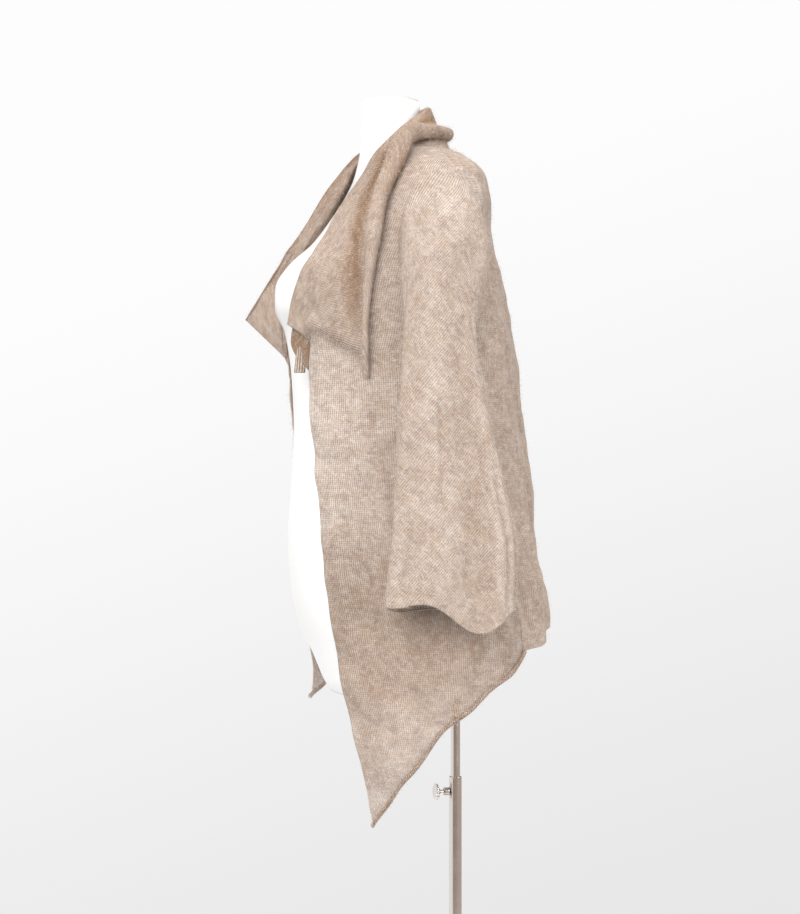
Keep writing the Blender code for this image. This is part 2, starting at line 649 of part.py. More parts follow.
def make_stand(steel, chrome):
    """Base, lower tube, pole, the pole's socket in the form, and the clamp's boss and thumb screw."""
    base = [
        (BASE_RADIUS - BASE_BEVEL, 0.0), (BASE_RADIUS, BASE_BEVEL), (BASE_RADIUS, BASE_THICK - BASE_BEVEL),
        (BASE_RADIUS - BASE_BEVEL, BASE_THICK), (0, BASE_THICK), (0, 0.0),
    ]
    finish("base_plate", turned(base, 40), steel)
    foot = BASE_THICK + CLEARANCE
    floor = foot + LOWER_TUBE_PLUG
    tube = [
        (LOWER_TUBE_RADIUS, foot), (LOWER_TUBE_RADIUS, LOWER_TUBE_TOP), (LOWER_TUBE_BORE, LOWER_TUBE_TOP),
        (LOWER_TUBE_BORE, floor), (0, floor), (0, foot),
    ]
    lower_tube = finish("lower_tube", turned(tube, 24), chrome)
    pole_top = SOCKET_FOOT + SOCKET_DEPTH
    pole = [(POLE_RADIUS, POLE_FOOT), (POLE_RADIUS, pole_top - CLEARANCE), (0, pole_top - CLEARANCE), (0, POLE_FOOT)]
    finish("pole", turned(pole, 20), chrome)
    inside = POLE_RADIUS + CLEARANCE
    socket = [
        (SOCKET_RADIUS, SOCKET_FOOT), (SOCKET_RADIUS, SOCKET_TOP), (0, SOCKET_TOP),
        (0, pole_top), (inside, pole_top), (inside, SOCKET_FOOT),
    ]
    finish("pole_socket", turned(socket, 24), steel)
    cap_foot = NECK_TOP + CLEARANCE
    cap = [
        (CAP_RADIUS, cap_foot), (CAP_RADIUS, cap_foot + CAP_THICK - CAP_BEVEL),
        (CAP_RADIUS - CAP_BEVEL, cap_foot + CAP_THICK), (0, cap_foot + CAP_THICK), (0, cap_foot),
    ]
    plate = finish("neck_cap", turned(cap, 32), steel)
    plate.location.y = FORM[0].side
    make_clamp(lower_tube, steel, chrome)


def make_clamp(lower_tube, steel, chrome):
    """The clamp along -Y: a boss on the lower tube, and the thumb screw that reaches through it to the pole."""
    seat = (0, -(LOWER_TUBE_RADIUS + CLEARANCE), SCREW_HEIGHT)
    forward = (math.radians(90), 0, 0)
    shank_hole = SCREW_SHANK_RADIUS + CLEARANCE
    tip = POLE_RADIUS + CLEARANCE - LOWER_TUBE_RADIUS - CLEARANCE
    hole = [(shank_hole, -LOWER_TUBE_RADIUS), (shank_hole, BOSS_LENGTH), (0, BOSS_LENGTH), (0, -LOWER_TUBE_RADIUS)]
    bore_out(lower_tube, "screw_hole", hole, 20, seat, forward)
    boss = [(BOSS_RADIUS, 0), (BOSS_RADIUS, BOSS_LENGTH), (shank_hole, BOSS_LENGTH), (shank_hole, 0)]
    head, end = SCREW_LENGTH, SCREW_LENGTH + 2 * SCREW_RIM
    screw = [
        (SCREW_SHANK_RADIUS, tip), (SCREW_SHANK_RADIUS, head), (SCREW_HEAD_RADIUS - SCREW_RIM, head),
        (SCREW_HEAD_RADIUS, head + SCREW_RIM), (SCREW_HEAD_RADIUS - SCREW_RIM, end), (0, end), (0, tip),
    ]
    for name, profile, material in (("screw_boss", boss, steel), ("thumb_screw", screw, chrome)):
        part = finish(name, turned(profile, 20), material)
        part.location = seat
        part.rotation_euler = forward


def make_cardigan(knit):
    """The cardigan's cut pieces: back, fronts, sleeves and collar."""
    points, outs = back_panel()
    finish("back", wall(points, outs=outs), knit)
    for name, side in (("left", 1), ("right", -1)):
        points, outs = front_panel(side)
        finish(f"front_{name}", wall(points, outs=outs), knit)
        finish(f"sleeve_{name}", wall(sleeve_rings(side), around=True), knit)
    rows, outs = collar_rows()
    finish("collar", wall(rows, first_column=outs), knit)


def main():
    for thing in list(bpy.data.objects):
        bpy.data.objects.remove(thing)
    knit = surface("brushed_mohair_knit", (0.52, 0.42, 0.33), 0.95)
    shell = surface("white_form_shell", (0.86, 0.86, 0.86), 0.35)
    steel = surface("satin_steel", (0.55, 0.54, 0.52), 0.35, 1.0)
    chrome = surface("chromed_tube", (0.72, 0.70, 0.68), 0.15, 1.0)
    make_form(shell)
    make_stand(steel, chrome)
    make_cardigan(knit)


main()
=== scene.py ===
"""Looks of an open waterfall cardigan of brushed mohair knit, worn by a limbless torso form on a pole stand.

Metres, +Z up. The form faces -Y and its left side is +X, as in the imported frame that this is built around.
"""

import json
import math
from collections import namedtuple

import bpy
import numpy as np
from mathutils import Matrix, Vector

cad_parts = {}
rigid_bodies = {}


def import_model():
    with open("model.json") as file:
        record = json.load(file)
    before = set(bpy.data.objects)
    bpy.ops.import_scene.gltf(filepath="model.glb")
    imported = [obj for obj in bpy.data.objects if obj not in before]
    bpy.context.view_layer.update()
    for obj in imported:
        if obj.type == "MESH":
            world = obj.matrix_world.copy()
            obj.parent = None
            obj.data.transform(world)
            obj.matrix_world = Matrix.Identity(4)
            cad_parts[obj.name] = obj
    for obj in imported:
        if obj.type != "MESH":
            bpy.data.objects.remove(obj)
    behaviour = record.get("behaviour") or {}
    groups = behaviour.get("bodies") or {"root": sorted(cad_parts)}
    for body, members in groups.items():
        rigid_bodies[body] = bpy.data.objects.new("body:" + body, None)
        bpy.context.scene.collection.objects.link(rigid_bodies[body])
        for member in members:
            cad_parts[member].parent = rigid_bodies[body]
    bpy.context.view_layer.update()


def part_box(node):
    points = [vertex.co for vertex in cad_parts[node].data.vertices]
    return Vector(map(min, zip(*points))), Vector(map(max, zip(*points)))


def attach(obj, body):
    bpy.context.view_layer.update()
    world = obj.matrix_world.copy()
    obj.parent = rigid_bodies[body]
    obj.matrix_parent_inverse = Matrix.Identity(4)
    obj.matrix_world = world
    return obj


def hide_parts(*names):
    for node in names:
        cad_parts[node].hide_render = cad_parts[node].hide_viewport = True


bl_info = {
    "name": "Waterfall cardigan",
    "version": (1, 0, 0),
    "blender": (4, 5, 0),
    "location": "View3D > Sidebar > Cardigan",
    "description": "Builds a mohair cardigan, its torso form and its pole stand around a packed frame",
    "category": "Object",
}

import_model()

# Where the picture's camera stands, and how far round from it the dim room lies that shows in what shines.
CAMERA_TARGET = Vector((0.0, -0.0823, 0.9886))
CAMERA_AZIMUTH = math.radians(76.0)
CAMERA_DISTANCE = 2.6
CAMERA_SENSOR = 36.0
CAMERA_LENS = 71.68
ROOM_TURN = math.radians(40.0)

# The cloth's distance from the form, and how softly one shape gives way to another.
EASE = 0.0045
RISE = 0.0030
NECK_EASE = 0.0060
SOFTEN = 0.0050
COLLAR_GAP = 0.0006

# Heights that the cut is worked from.
NECK_SEAM = 1.4165
SHOULDER_TIP = 1.378
UNDERARM = 1.185
COLLAR_END = 1.105
HIP_RING = 0.770
FREE_FROM = 1.345
FREE_OVER = 0.045
FLUTES_FULL = 0.740
SIDE_SEAM_FULL = 0.700

# Panel seams, as angles round the body from the front (0) to the back (180).
SHOULDER_ANGLE = 90.0
ARMHOLE_SPREAD = 17.0
SIDE_ANGLE_HEM = 124.0
HEM_RISE_BACK = 0.0667

Section = namedtuple("Section", "height half_width side front back square")

# The form's level sections: half its width, the Y of its widest place, its front and its back.
FORM = [
    Section(1.4920, 0.0420, -0.0960, -0.1390, -0.0540, 2.0),
    Section(1.4550, 0.0425, -0.0950, -0.1390, -0.0530, 2.0),
    Section(1.4320, 0.0540, -0.0880, -0.1390, -0.0400, 2.0),
    Section(1.4180, 0.0850, -0.0760, -0.1390, -0.0220, 2.0),
    Section(1.4050, 0.1250, -0.0640, -0.1400, -0.0020, 2.1),
    Section(1.3880, 0.1600, -0.0560, -0.1430, 0.0110, 2.2),
    Section(1.3650, 0.1820, -0.0520, -0.1530, 0.0190, 2.3),
    Section(1.3350, 0.1905, -0.0560, -0.1720, 0.0230, 2.4),
    Section(1.2950, 0.1890, -0.0660, -0.2020, 0.0230, 2.5),
    Section(1.2620, 0.1800, -0.0800, -0.2380, 0.0190, 2.5),
    Section(1.2310, 0.1660, -0.0940, -0.2570, 0.0120, 2.5),
    Section(1.2000, 0.1540, -0.1020, -0.2590, 0.0020, 2.4),
    Section(1.1650, 0.1430, -0.1100, -0.2450, -0.0100, 2.3),
    Section(1.1000, 0.1270, -0.1220, -0.2360, -0.0300, 2.2),
    Section(1.0300, 0.1210, -0.1280, -0.2330, -0.0380, 2.2),
    Section(0.9500, 0.1400, -0.1200, -0.2370, -0.0180, 2.2),
    Section(0.8700, 0.1600, -0.1080, -0.2400, 0.0120, 2.3),
    Section(0.8000, 0.1670, -0.1000, -0.2340, 0.0300, 2.4),
    Section(HIP_RING, 0.1670, -0.0980, -0.2280, 0.0320, 2.4),
    Section(0.7200, 0.1620, -0.0950, -0.2120, 0.0290, 2.4),
    Section(0.6600, 0.1500, -0.0950, -0.1920, 0.0220, 2.4),
]
FORM_FOOT_RIGHT = 0.715
FORM_FOOT_LEFT = 0.660
FORM_STEP = (-0.012, 0.030)

# The cloth where it hangs free of the form.
HANG = [
    Section(1.4500, 0.0300, -0.0900, -0.1200, -0.0500, 2.0),
    Section(1.3600, 0.1800, -0.0600, -0.1500, -0.0050, 2.3),
    Section(1.3000, 0.1950, -0.0700, -0.2060, 0.0300, 2.4),
    Section(1.2310, 0.1980, -0.0780, -0.2630, 0.0500, 2.4),
    Section(1.1650, 0.1990, -0.0820, -0.2620, 0.0660, 2.3),
    Section(1.0900, 0.1995, -0.0820, -0.2560, 0.0800, 2.2),
    Section(0.9700, 0.2020, -0.0800, -0.2500, 0.0890, 2.2),
    Section(0.8500, 0.2060, -0.0760, -0.2440, 0.0980, 2.2),
    Section(0.7400, 0.2100, -0.0700, -0.2380, 0.1160, 2.2),
    Section(0.6200, 0.2100, -0.0700, -0.2320, 0.1160, 2.2),
    Section(0.4900, 0.2060, -0.0700, -0.2200, 0.1100, 2.2),
]

# The fronts' free edges, and above the collar's end their neckline seams.
FrontEdge = namedtuple("FrontEdge", "height left right")
FRONT_EDGES = [
    FrontEdge(NECK_SEAM, 86.0, 86.0),
    FrontEdge(1.4100, 62.0, 64.0),
    FrontEdge(1.4000, 52.0, 55.0),
    FrontEdge(1.3800, 47.0, 53.0),
    FrontEdge(1.3400, 44.0, 53.0),
    FrontEdge(1.3000, 43.5, 54.0),
    FrontEdge(1.2500, 41.5, 54.0),
    FrontEdge(1.1950, 39.0, 53.5),
    FrontEdge(1.1400, 37.0, 52.0),
    FrontEdge(COLLAR_END, 35.0, 46.0),
    FrontEdge(1.0400, 36.4, 45.6),
    FrontEdge(0.9700, 38.0, 50.0),
    FrontEdge(0.8500, 41.0, 56.0),
    FrontEdge(0.7400, 44.5, 56.0),
    FrontEdge(0.6250, 52.5, 59.0),
    FrontEdge(0.4950, 62.1, 62.0),
]

# Hem heights of each front, by the share of the way from its front edge to its side seam.
Hem = namedtuple("Hem", "share height")
HEM_LEFT = [Hem(0.0, 0.4957), Hem(0.25, 0.555), Hem(0.5, 0.620), Hem(0.75, 0.672), Hem(1.0, 0.7213)]
HEM_RIGHT = [Hem(0.0, 0.6245), Hem(0.4, 0.690), Hem(1.0, HEM_LEFT[-1].height + HEM_RISE_BACK)]

# Flutes that the hanging cloth falls into: where, how wide, how proud at the hem, and where they start.
Flute = namedtuple("Flute", "angle width depth start")
FLUTES = [
    Flute(-150.0, 13.0, 0.016, 1.20),
    Flute(-118.0, 13.0, 0.010, 1.05),
    Flute(-82.0, 15.0, 0.006, 1.00),
    Flute(58.0, 14.0, -0.006, 1.00),
    Flute(84.0, 14.0, -0.008, 1.05),
    Flute(112.0, 12.0, 0.006, 0.98),
    Flute(138.0, 12.0, 0.012, 1.10),
    Flute(164.0, 13.0, 0.014, 1.22),
    Flute(186.0, 11.0, -0.008, 1.15),
]

# The sleeve from below its armhole seam to its cuff: outer and inner sides, front and back folds.
SleeveRing = namedtuple("SleeveRing", "place outer_x outer_z inner_x inner_z front back dip")
SLEEVE = [
    SleeveRing(0, 0.2060, 1.3660, 0.2090, 1.1900, -0.1330, -0.0200, 0.0),
    SleeveRing(1, 0.2270, 1.3400, 0.2140, 1.1720, -0.1350, -0.0180, 0.0),
    SleeveRing(2, 0.2420, 1.2950, 0.2160, 1.1400, -0.1365, -0.0230, 0.0),
    SleeveRing(3, 0.2500, 1.2100, 0.2165, 1.0950, -0.1350, -0.0380, 0.0),
    SleeveRing(4, 0.2545, 1.1050, 0.2175, 1.0300, -0.1400, -0.0240, 0.0),
    SleeveRing(5, 0.2575, 0.9900, 0.2190, 0.9450, -0.1460, -0.0050, 0.004),
    SleeveRing(6, 0.2605, 0.8850, 0.2205, 0.8600, -0.1530, 0.0150, 0.012),
    SleeveRing(7, 0.2620, 0.8000, 0.2220, 0.7880, -0.1620, 0.0150, 0.038),
]
DIP_TURN = math.radians(25.0)
DIP_NARROWS = 6

# Long folds of the hanging sleeve: where round it, how wide, how proud, and between which rings.
# The first ones are in the solid too, and the narrow ones after them are the cloth's finer creases.
SleeveFold = namedtuple("SleeveFold", "turn width depth first last")
SLEEVE_FOLDS = [
    SleeveFold(18.0, 30.0, 0.0060, 2.2, 7.5),
    SleeveFold(-22.0, 26.0, -0.0050, 3.0, 7.8),
    SleeveFold(-52.0, 24.0, 0.0050, 3.6, 8.0),
    SleeveFold(160.0, 34.0, 0.0050, 3.0, 7.8),
    SleeveFold(13.0, 6.0, -0.0046, 3.9, 6.1),
    SleeveFold(-42.0, 6.5, 0.0052, 4.4, 7.8),
    SleeveFold(-52.0, 5.5, -0.0056, 4.8, 7.6),
    SleeveFold(-62.0, 6.0, 0.0060, 4.6, 8.0),
    SleeveFold(-73.0, 5.5, -0.0070, 5.0, 7.8),
    SleeveFold(48.0, 9.0, -0.0026, 5.4, 8.2),
    SleeveFold(66.0, 8.0, 0.0022, 4.6, 7.4),
    SleeveFold(128.0, 9.0, -0.0026, 4.4, 7.6),
    SleeveFold(-140.0, 9.0, 0.0028, 4.0, 7.8),
]

# Painted shade: how much darker the pile is painted for each metre that a fold sinks, and its tint where
# painted darker by 1.
FOLD_SHADE = 14.0
PAINTED_SHADE_TINT = (-1.0, -1.27, -1.51)

# Heights between which the knit over the shoulders is stretched open.
STRETCHED = (1.33, 1.39)

# A streak painted paler where that knit lets the most light through, a painted light: from one place (y, z)
# to another.
STREAK_FRONT = np.array([-0.073, 1.316])
STREAK_BACK = np.array([0.017, 1.369])
STREAK_WIDTH = 0.020
STREAK_SHADE = 0.13

# The collar from its right end, round the neck, to its left end. Seam is the way along the neckline.
CollarStation = namedtuple("CollarStation", "seam roll_x roll_y roll_z edge_x edge_y edge_z fold curl")
COLLAR = [
    CollarStation(-1.00, -0.1450, -0.2200, 1.1350, -0.1640, -0.2790, 1.1930, 0.003, 0.003),
    CollarStation(-0.85, -0.1420, -0.2200, 1.2050, -0.1600, -0.2550, 1.2300, 0.003, 0.003),
    CollarStation(-0.68, -0.1320, -0.2060, 1.2700, -0.1500, -0.2280, 1.2720, 0.003, 0.003),
    CollarStation(-0.50, -0.0880, -0.1720, 1.3400, -0.1300, -0.1950, 1.3220, 0.004, 0.004),
    CollarStation(-0.34, -0.0660, -0.1380, 1.4000, -0.1080, -0.1480, 1.3940, 0.004, 0.006),
    CollarStation(-0.22, -0.0560, -0.0900, 1.4560, -0.0960, -0.0960, 1.4340, 0.004, 0.008),
    CollarStation(-0.10, -0.0360, -0.0550, 1.4800, -0.0560, -0.0400, 1.4420, 0.004, 0.008),
    CollarStation(0.00, 0.0000, -0.0440, 1.4880, 0.0000, -0.0270, 1.4440, 0.004, 0.008),
    CollarStation(0.10, 0.0360, -0.0550, 1.4800, 0.0560, -0.0400, 1.4380, 0.004, 0.008),
    CollarStation(0.22, 0.0540, -0.0920, 1.4480, 0.0980, -0.0860, 1.4240, 0.004, 0.010),
    CollarStation(0.34, 0.0590, -0.1380, 1.3920, 0.1360, -0.1110, 1.3900, 0.005, 0.011),
    CollarStation(0.50, 0.0680, -0.1780, 1.3380, 0.1620, -0.1400, 1.3260, 0.006, 0.010),
    CollarStation(0.68, 0.1020, -0.2270, 1.2660, 0.1850, -0.1620, 1.2540, 0.006, 0.007),
    CollarStation(0.84, 0.0950, -0.2520, 1.2160, 0.1870, -0.1700, 1.1600, 0.006, 0.005),
    CollarStation(1.00, 0.0900, -0.2610, 1.1690, 0.1850, -0.1690, 1.0930, 0.006, 0.004),
]
FALL_GAP = 0.0065
FALL_LIFT = 0.0040
CURL_TURN = math.radians(300.0)
CURL_SWELL = 1.20
CURL_RIGHT = 0.30
CURL_TIGHTENS = 0.25
# The trough beside the curled edge, the bow of the stand's end, and how the lapel's end lies on the front.
VALLEY = 0.0055
VALLEY_TOP, VALLEY_SLOPE = 0.42, 0.75
VALLEY_WIDTH = 0.13
VALLEY_STARTS, VALLEY_ENDS = (0.08, 0.25), (0.66, 0.90)
VALLEY_BETWEEN = (0.35, 0.82)
BOW = 0.0120
BOW_WAYS = (0.84, 0.98)
BOW_TOWARDS = np.array([-0.24, -0.97, 0.0])
LIE_DOWN_FROM_WAY = 0.90
LIE_DOWN_GAP = 0.0004
NECK_WAY = 0.22
NECK_TURN = 86.0

# Painted shade on the collar's pile: how much darker it is painted all over, beside, inside and under its
# curled edge, behind the neck, on the far side, and inside the stand's end.
COLLAR_SHADE = 0.09
BESIDE_CURL = 0.31
INSIDE_CURL = 0.26
UNDER_CURL = 0.20
BEHIND_NECK = 0.14
FAR_SIDE = 0.02
STAND_END = 0.30

# Soft troughs (depth below 0) and ridges, each from one place of a piece to another. Places are shares of its
# columns and rows, from its first corner.
Crease = namedtuple("Crease", "from_column from_row to_column to_row width depth")
BACK_CREASES = [
    Crease(0.12, 0.30, 0.30, 0.62, 0.012, -0.0035),
    Crease(0.22, 0.22, 0.42, 0.46, 0.010, 0.0030),
    Crease(0.30, 0.55, 0.34, 0.97, 0.011, -0.0040),
    Crease(0.46, 0.40, 0.52, 0.95, 0.014, -0.0045),
    Crease(0.58, 0.34, 0.70, 0.60, 0.011, 0.0032),
    Crease(0.64, 0.58, 0.62, 0.98, 0.012, -0.0040),
    Crease(0.88, 0.28, 0.72, 0.56, 0.012, -0.0036),
    Crease(0.80, 0.62, 0.84, 0.98, 0.010, -0.0034),
    Crease(0.08, 0.66, 0.12, 0.98, 0.009, -0.0030),
    Crease(0.02, 0.74, 0.03, 0.99, 0.006, 0.0034),
    Crease(0.055, 0.80, 0.06, 0.99, 0.005, -0.0038),
    Crease(0.085, 0.72, 0.095, 0.99, 0.006, 0.0036),
    Crease(0.150, 0.82, 0.150, 0.99, 0.006, -0.0034),
    Crease(0.190, 0.76, 0.200, 0.99, 0.007, 0.0030),
    Crease(0.940, 0.78, 0.950, 0.99, 0.006, -0.0034),
    Crease(0.905, 0.74, 0.900, 0.99, 0.007, 0.0032),
]
FRONT_CREASES = [
    Crease(0.96, 0.78, 0.52, 0.86, 0.011, -0.0040),
    Crease(0.98, 0.83, 0.60, 0.93, 0.009, 0.0032),
    Crease(0.94, 0.70, 0.40, 0.76, 0.014, 0.0036),
    Crease(0.92, 0.88, 0.66, 0.97, 0.008, -0.0030),
    Crease(0.30, 0.50, 0.24, 0.80, 0.012, -0.0034),
    Crease(0.14, 0.46, 0.10, 0.92, 0.010, 0.0024),
    Crease(0.46, 0.44, 0.44, 0.68, 0.010, 0.0028),
]
COLLAR_CREASES = [
    Crease(0.52, 0.80, 0.66, 0.99, 0.010, -0.0045),
    Crease(0.44, 0.90, 0.60, 0.97, 0.008, 0.0035),
    Crease(0.58, 0.72, 0.52, 0.88, 0.009, -0.0032),
    Crease(0.46, 0.62, 0.50, 0.76, 0.007, 0.0024),
    Crease(0.56, 0.54, 0.62, 0.62, 0.006, -0.0022),
    Crease(0.50, 0.40, 0.60, 0.47, 0.006, -0.0020),
    Crease(0.50, 0.14, 0.58, 0.26, 0.007, -0.0024),
]

# Waves of the cloth that no fold accounts for: their spacing and how far they carry it.
Ripple = namedtuple("Ripple", "spacing depth")
RIPPLES = [Ripple(0.150, 0.0016), Ripple(0.085, 0.0011), Ripple(0.046, 0.0006)]
RIPPLE_DIRECTIONS = 5

# The rolled edges of the knit: the fronts' hems roll outward, and the back's hem and the sleeves' cuffs turn
# in.
HEM_ROLL = 0.0034
HEM_ROLL_TURN = math.radians(400.0)
EDGE_TURN_RADIUS = 0.0012
EDGE_TURN = math.radians(150.0)
ROLL_STEPS = 12
ROLL_TIGHTENS = 0.28
HEM_WAVE = 0.0022
CUFF_WAVE_ROWS = 8

# The bound-off end of the collar's stand, where its ribs show.
RIBS = 4
RIB_TOP = (0.1020, -0.2436, 1.1590)
RIB_FOOT = (0.1010, -0.2476, 1.1036)
RIB_WIDTH_TOP = 0.0110
RIB_WIDTH_FOOT = 0.0140
RIB_DEPTH = 0.0034
RIB_ROWS = 30
RIB_COLUMNS = 41
RIB_ROUNDING = 0.0040
RIB_SCALLOP = 0.0015
RIB_SIDEWAYS = np.array([0.242, 0.970, 0.0])
RIB_FORWARD = np.array([0.970, -0.242, 0.0])

# The halo's hairs: how many are on the knit's inner side, for 1 on its outer side, and how they lie.
HALO_INSIDE = 0.3
HAIR_SPREAD = 0.0012
HAIR_LIFT = (0.10, 0.75)
HAIR_SHORTEST = 0.35
HAIR_BEND = 0.22
HAIR_DROOP = 0.15

# What each piece was cut to: its size across and down, and its flat area.
Cut = namedtuple("Cut", "width length area")
CUTS = {
    "cardigan_back": Cut(0.62, 0.74, 0.345),
    "cardigan_front_left": Cut(0.30, 0.93, 0.178),
    "cardigan_front_right": Cut(0.26, 0.80, 0.122),
    "cardigan_sleeve_left": Cut(0.40, 0.62, 0.168),
    "cardigan_sleeve_right": Cut(0.40, 0.62, 0.168),
    "cardigan_collar": Cut(0.16, 1.10, 0.142),
}

# Where the fronts are painted darker and paler, by height, and how dark the painted shade of their rolled
# hems and the sleeves' folds is.
SHADOW_GROWS, SHADOW_FADES = (0.625, 0.675), (0.76, 0.92)
LIGHT_GROWS, LIGHT_HALVES = (0.84, 0.95), (1.10, 1.18)
HEM_SHADE = 0.20
SLEEVE_SHADE = (-0.10, 0.14)

# Under the collar the fronts lie smooth, from the first of these heights to the second.
SMOOTH_FROM = (1.05, 1.11)

# Which way the knit's columns lean on each piece, from the piece's own columns.
SLEEVE_LEAN = math.radians(42.0)
COLLAR_LEAN = math.radians(90.0)

# How fine each shell's grid is.
BODY_STEP = 0.0042
SLEEVE_COLUMNS = 132
SLEEVE_ROWS = 170
COLLAR_ROWS = 250
COLLAR_COLUMNS = {"stand": 14, "roll": 12, "fall": 26, "curl": 16}
SHOULDER_ROWS = 12
ARMHOLE_ROWS = 44
FORM_COLUMNS = 120
FORM_ROWS = 110
FORM_FOOT_ROWS = 24
TURNED_STEPS = 64

# A place inside the body, which its panels face away from.
BODY_MIDDLE = np.array([0.0, -0.08, 0.0])

# The stand's metals: the setting that holds their colour, their roughness, and the spacing of their lines.
Metal = namedtuple("Metal", "setting roughness grain")
METALS = {
    "Chromed tube": Metal("tube", 0.20, 0.0005),
    "Satin steel": Metal("steel", 0.32, 0.0006),
    "Bead-blasted steel": Metal("blasted", 0.75, 0.0006),
}

# The stand's turned parts.
PLATE_BEVEL = 0.0018
TUBE_BORE = 0.0084
TUBE_FLOOR = 0.02
SCREW_SHANK = 0.0030
SCREW_NECK = 0.0052
SCREW_HEAD = 0.0060
SCREW_CHAMFER = 0.0018
SCREW_FACE = 0.82
SCREW_STEPS = 120
LOBES = 10
LOBE_DEPTH = 0.07
LOBED_FROM = 0.7

# The soft boxes: where they stand, how wide they are and what they point at.
SoftBox = namedtuple("SoftBox", "place size target")
KEY_LIGHT = SoftBox((2.1, -1.5, 2.15), 1.8, (0.05, -0.1, 1.05))
FILL_LIGHT = SoftBox((2.2, 1.6, 1.6), 1.6, (0.0, -0.05, 0.95))
FLOOR_FADES_FROM = 0.45
FLOOR_STEPS = 96


def linear(hex_colour):
    """A colour's linear RGB, from its sRGB hex value."""
    parts = [int(hex_colour[i:i + 2], 16) / 255 for i in (1, 3, 5)]
    return tuple(c / 12.92 if c <= 0.04045 else ((c + 0.055) / 1.055) ** 2.4 for c in parts)


# Reading the tables

def read(rows, key, name, values):
    """The smooth curve of one column of a table, read at values. It doesn't overshoot its rows."""
    known = np.array([getattr(row, key) for row in rows], float)
    wanted = np.array([getattr(row, name) for row in rows], float)
    order = np.argsort(known)
    known, wanted = known[order], wanted[order]
    values = np.clip(values, known[0], known[-1])
    at = np.clip(np.searchsorted(known, values) - 1, 0, len(known) - 2)
    slope = np.diff(wanted) / np.diff(known)
    both = slope[:-1] * slope[1:]
    middle = np.where(both > 0, 2 * both / (slope[:-1] + slope[1:] + 1e-12), 0.0)
    ends = np.concatenate([slope[:1], middle, slope[-1:]])
    step = known[at + 1] - known[at]
    t = (values - known[at]) / step
    rest = 1 - t
    near = (1 + 2 * t) * rest * rest * wanted[at] + t * rest * rest * step * ends[at]
    far = t * t * (3 - 2 * t) * wanted[at + 1] - t * t * rest * step * ends[at + 1]
    return near + far


def ease_in(low, high, values):
    """0 below low, 1 above high, smooth between."""
    t = np.clip((values - low) / (high - low), 0.0, 1.0)
    return t * t * (3 - 2 * t)


def larger(first, second, soften=SOFTEN):
    """The larger of two values, with a soft change from one to the other."""
    return (first + second + np.sqrt((first - second) ** 2 + soften ** 2)) / 2


def section_at(rows, height):
    """Level sections of a table of sections."""
    return Section(height, *(read(rows, "height", name, height) for name in Section._fields[1:]))


def cloth_section(height):
    """The cloth's level sections: on the form above, hanging free of it below."""
    form = section_at(FORM, height - RISE)
    hang = section_at(HANG, height)
    free = ease_in(0.0, 1.0, (FREE_FROM - height) / FREE_OVER)
    return Section(
        height,
        larger(form.half_width + EASE, hang.half_width),
        form.side + (hang.side - form.side) * free,
        -larger(EASE - form.front, -hang.front),
        larger(form.back + EASE, hang.back),
        form.square + (hang.square - form.square) * free,
    )


def radius(section, angle):
    """Distance from a section's middle to its outline, at angles from the front in degrees."""
    turn = np.radians(angle)
    across, along = np.abs(np.sin(turn)), np.cos(turn)
    depth = np.where(along > 0, section.side - section.front, section.back - section.side)
    power = section.square
    return ((across / section.half_width) ** power + (np.abs(along) / depth) ** power) ** (-1 / power)


def swelling(angle, middle, width):
    """1 at a middle angle and smoothly less to 0 a width away from it, in degrees."""
    away = np.abs((angle - middle + 180.0) % 360.0 - 180.0) / width
    return np.cos(np.minimum(away, 1.0) * math.pi / 2) ** 2


def flutes(height, angle):
    """How far the hanging folds carry the cloth out."""
    out = np.zeros(np.broadcast(height, angle).shape)
    for flute in FLUTES:
        shape = swelling(angle, flute.angle, flute.width)
        out += flute.depth * shape * ease_in(flute.start, FLUTES_FULL, height)
    return out


def round_the_axis(section, angle, distance):
    turn = np.radians(angle)
    x = np.sin(turn) * distance
    y = section.side - np.cos(turn) * distance
    return np.stack([x, y, np.broadcast_to(section.height, x.shape)], axis=-1)


def cloth_points(height, angle):
    """Points of the cardigan's body."""
    section = cloth_section(height)
    return round_the_axis(section, angle, radius(section, angle) + flutes(height, angle))


def from_axis(points, section):
    """Angles and distances of points from the middles of the level sections that they lie in."""
    away = points[..., :2] - np.stack([np.zeros_like(section.side), section.side], axis=-1)
    return np.degrees(np.arctan2(away[..., 0], -away[..., 1])), np.linalg.norm(away, axis=-1)


def pushed_clear(points, section, gap):
    """Points, moved out from the middles of their level sections until they are gap clear."""
    angle, distance = from_axis(points, section)
    clear = larger(distance, radius(section, angle) + gap, SOFTEN / 2)
    return round_the_axis(Section(points[..., 2], *section[1:]), angle, clear)


def drawn_in(points, section, gap, amount):
    """Points, drawn by an amount of 0 to 1 towards the places that lie gap clear of the cloth's body."""
    angle, distance = from_axis(points, section)
    wanted = radius(section, angle) + flutes(section.height, angle) + gap
    drawn = distance + (wanted - distance) * amount
    return round_the_axis(Section(points[..., 2], *section[1:]), angle, drawn)


# Grids of the cut pieces

def front_angle(height, side):
    return side * read(FRONT_EDGES, "height", "left" if side > 0 else "right", height)


def side_angle(height, seam_side):
    """Angle of a panel's outer boundary: shoulder seam, armhole, then side seam."""
    middle, half = (SHOULDER_TIP + UNDERARM) / 2, (SHOULDER_TIP - UNDERARM) / 2
    opening = ARMHOLE_SPREAD * np.sqrt(np.maximum(0.0, 1 - ((height - middle) / half) ** 2))
    below = (SIDE_ANGLE_HEM - SHOULDER_ANGLE) * ease_in(UNDERARM, SIDE_SEAM_FULL, height)
    return SHOULDER_ANGLE + np.where(height >= UNDERARM, seam_side * opening, below)


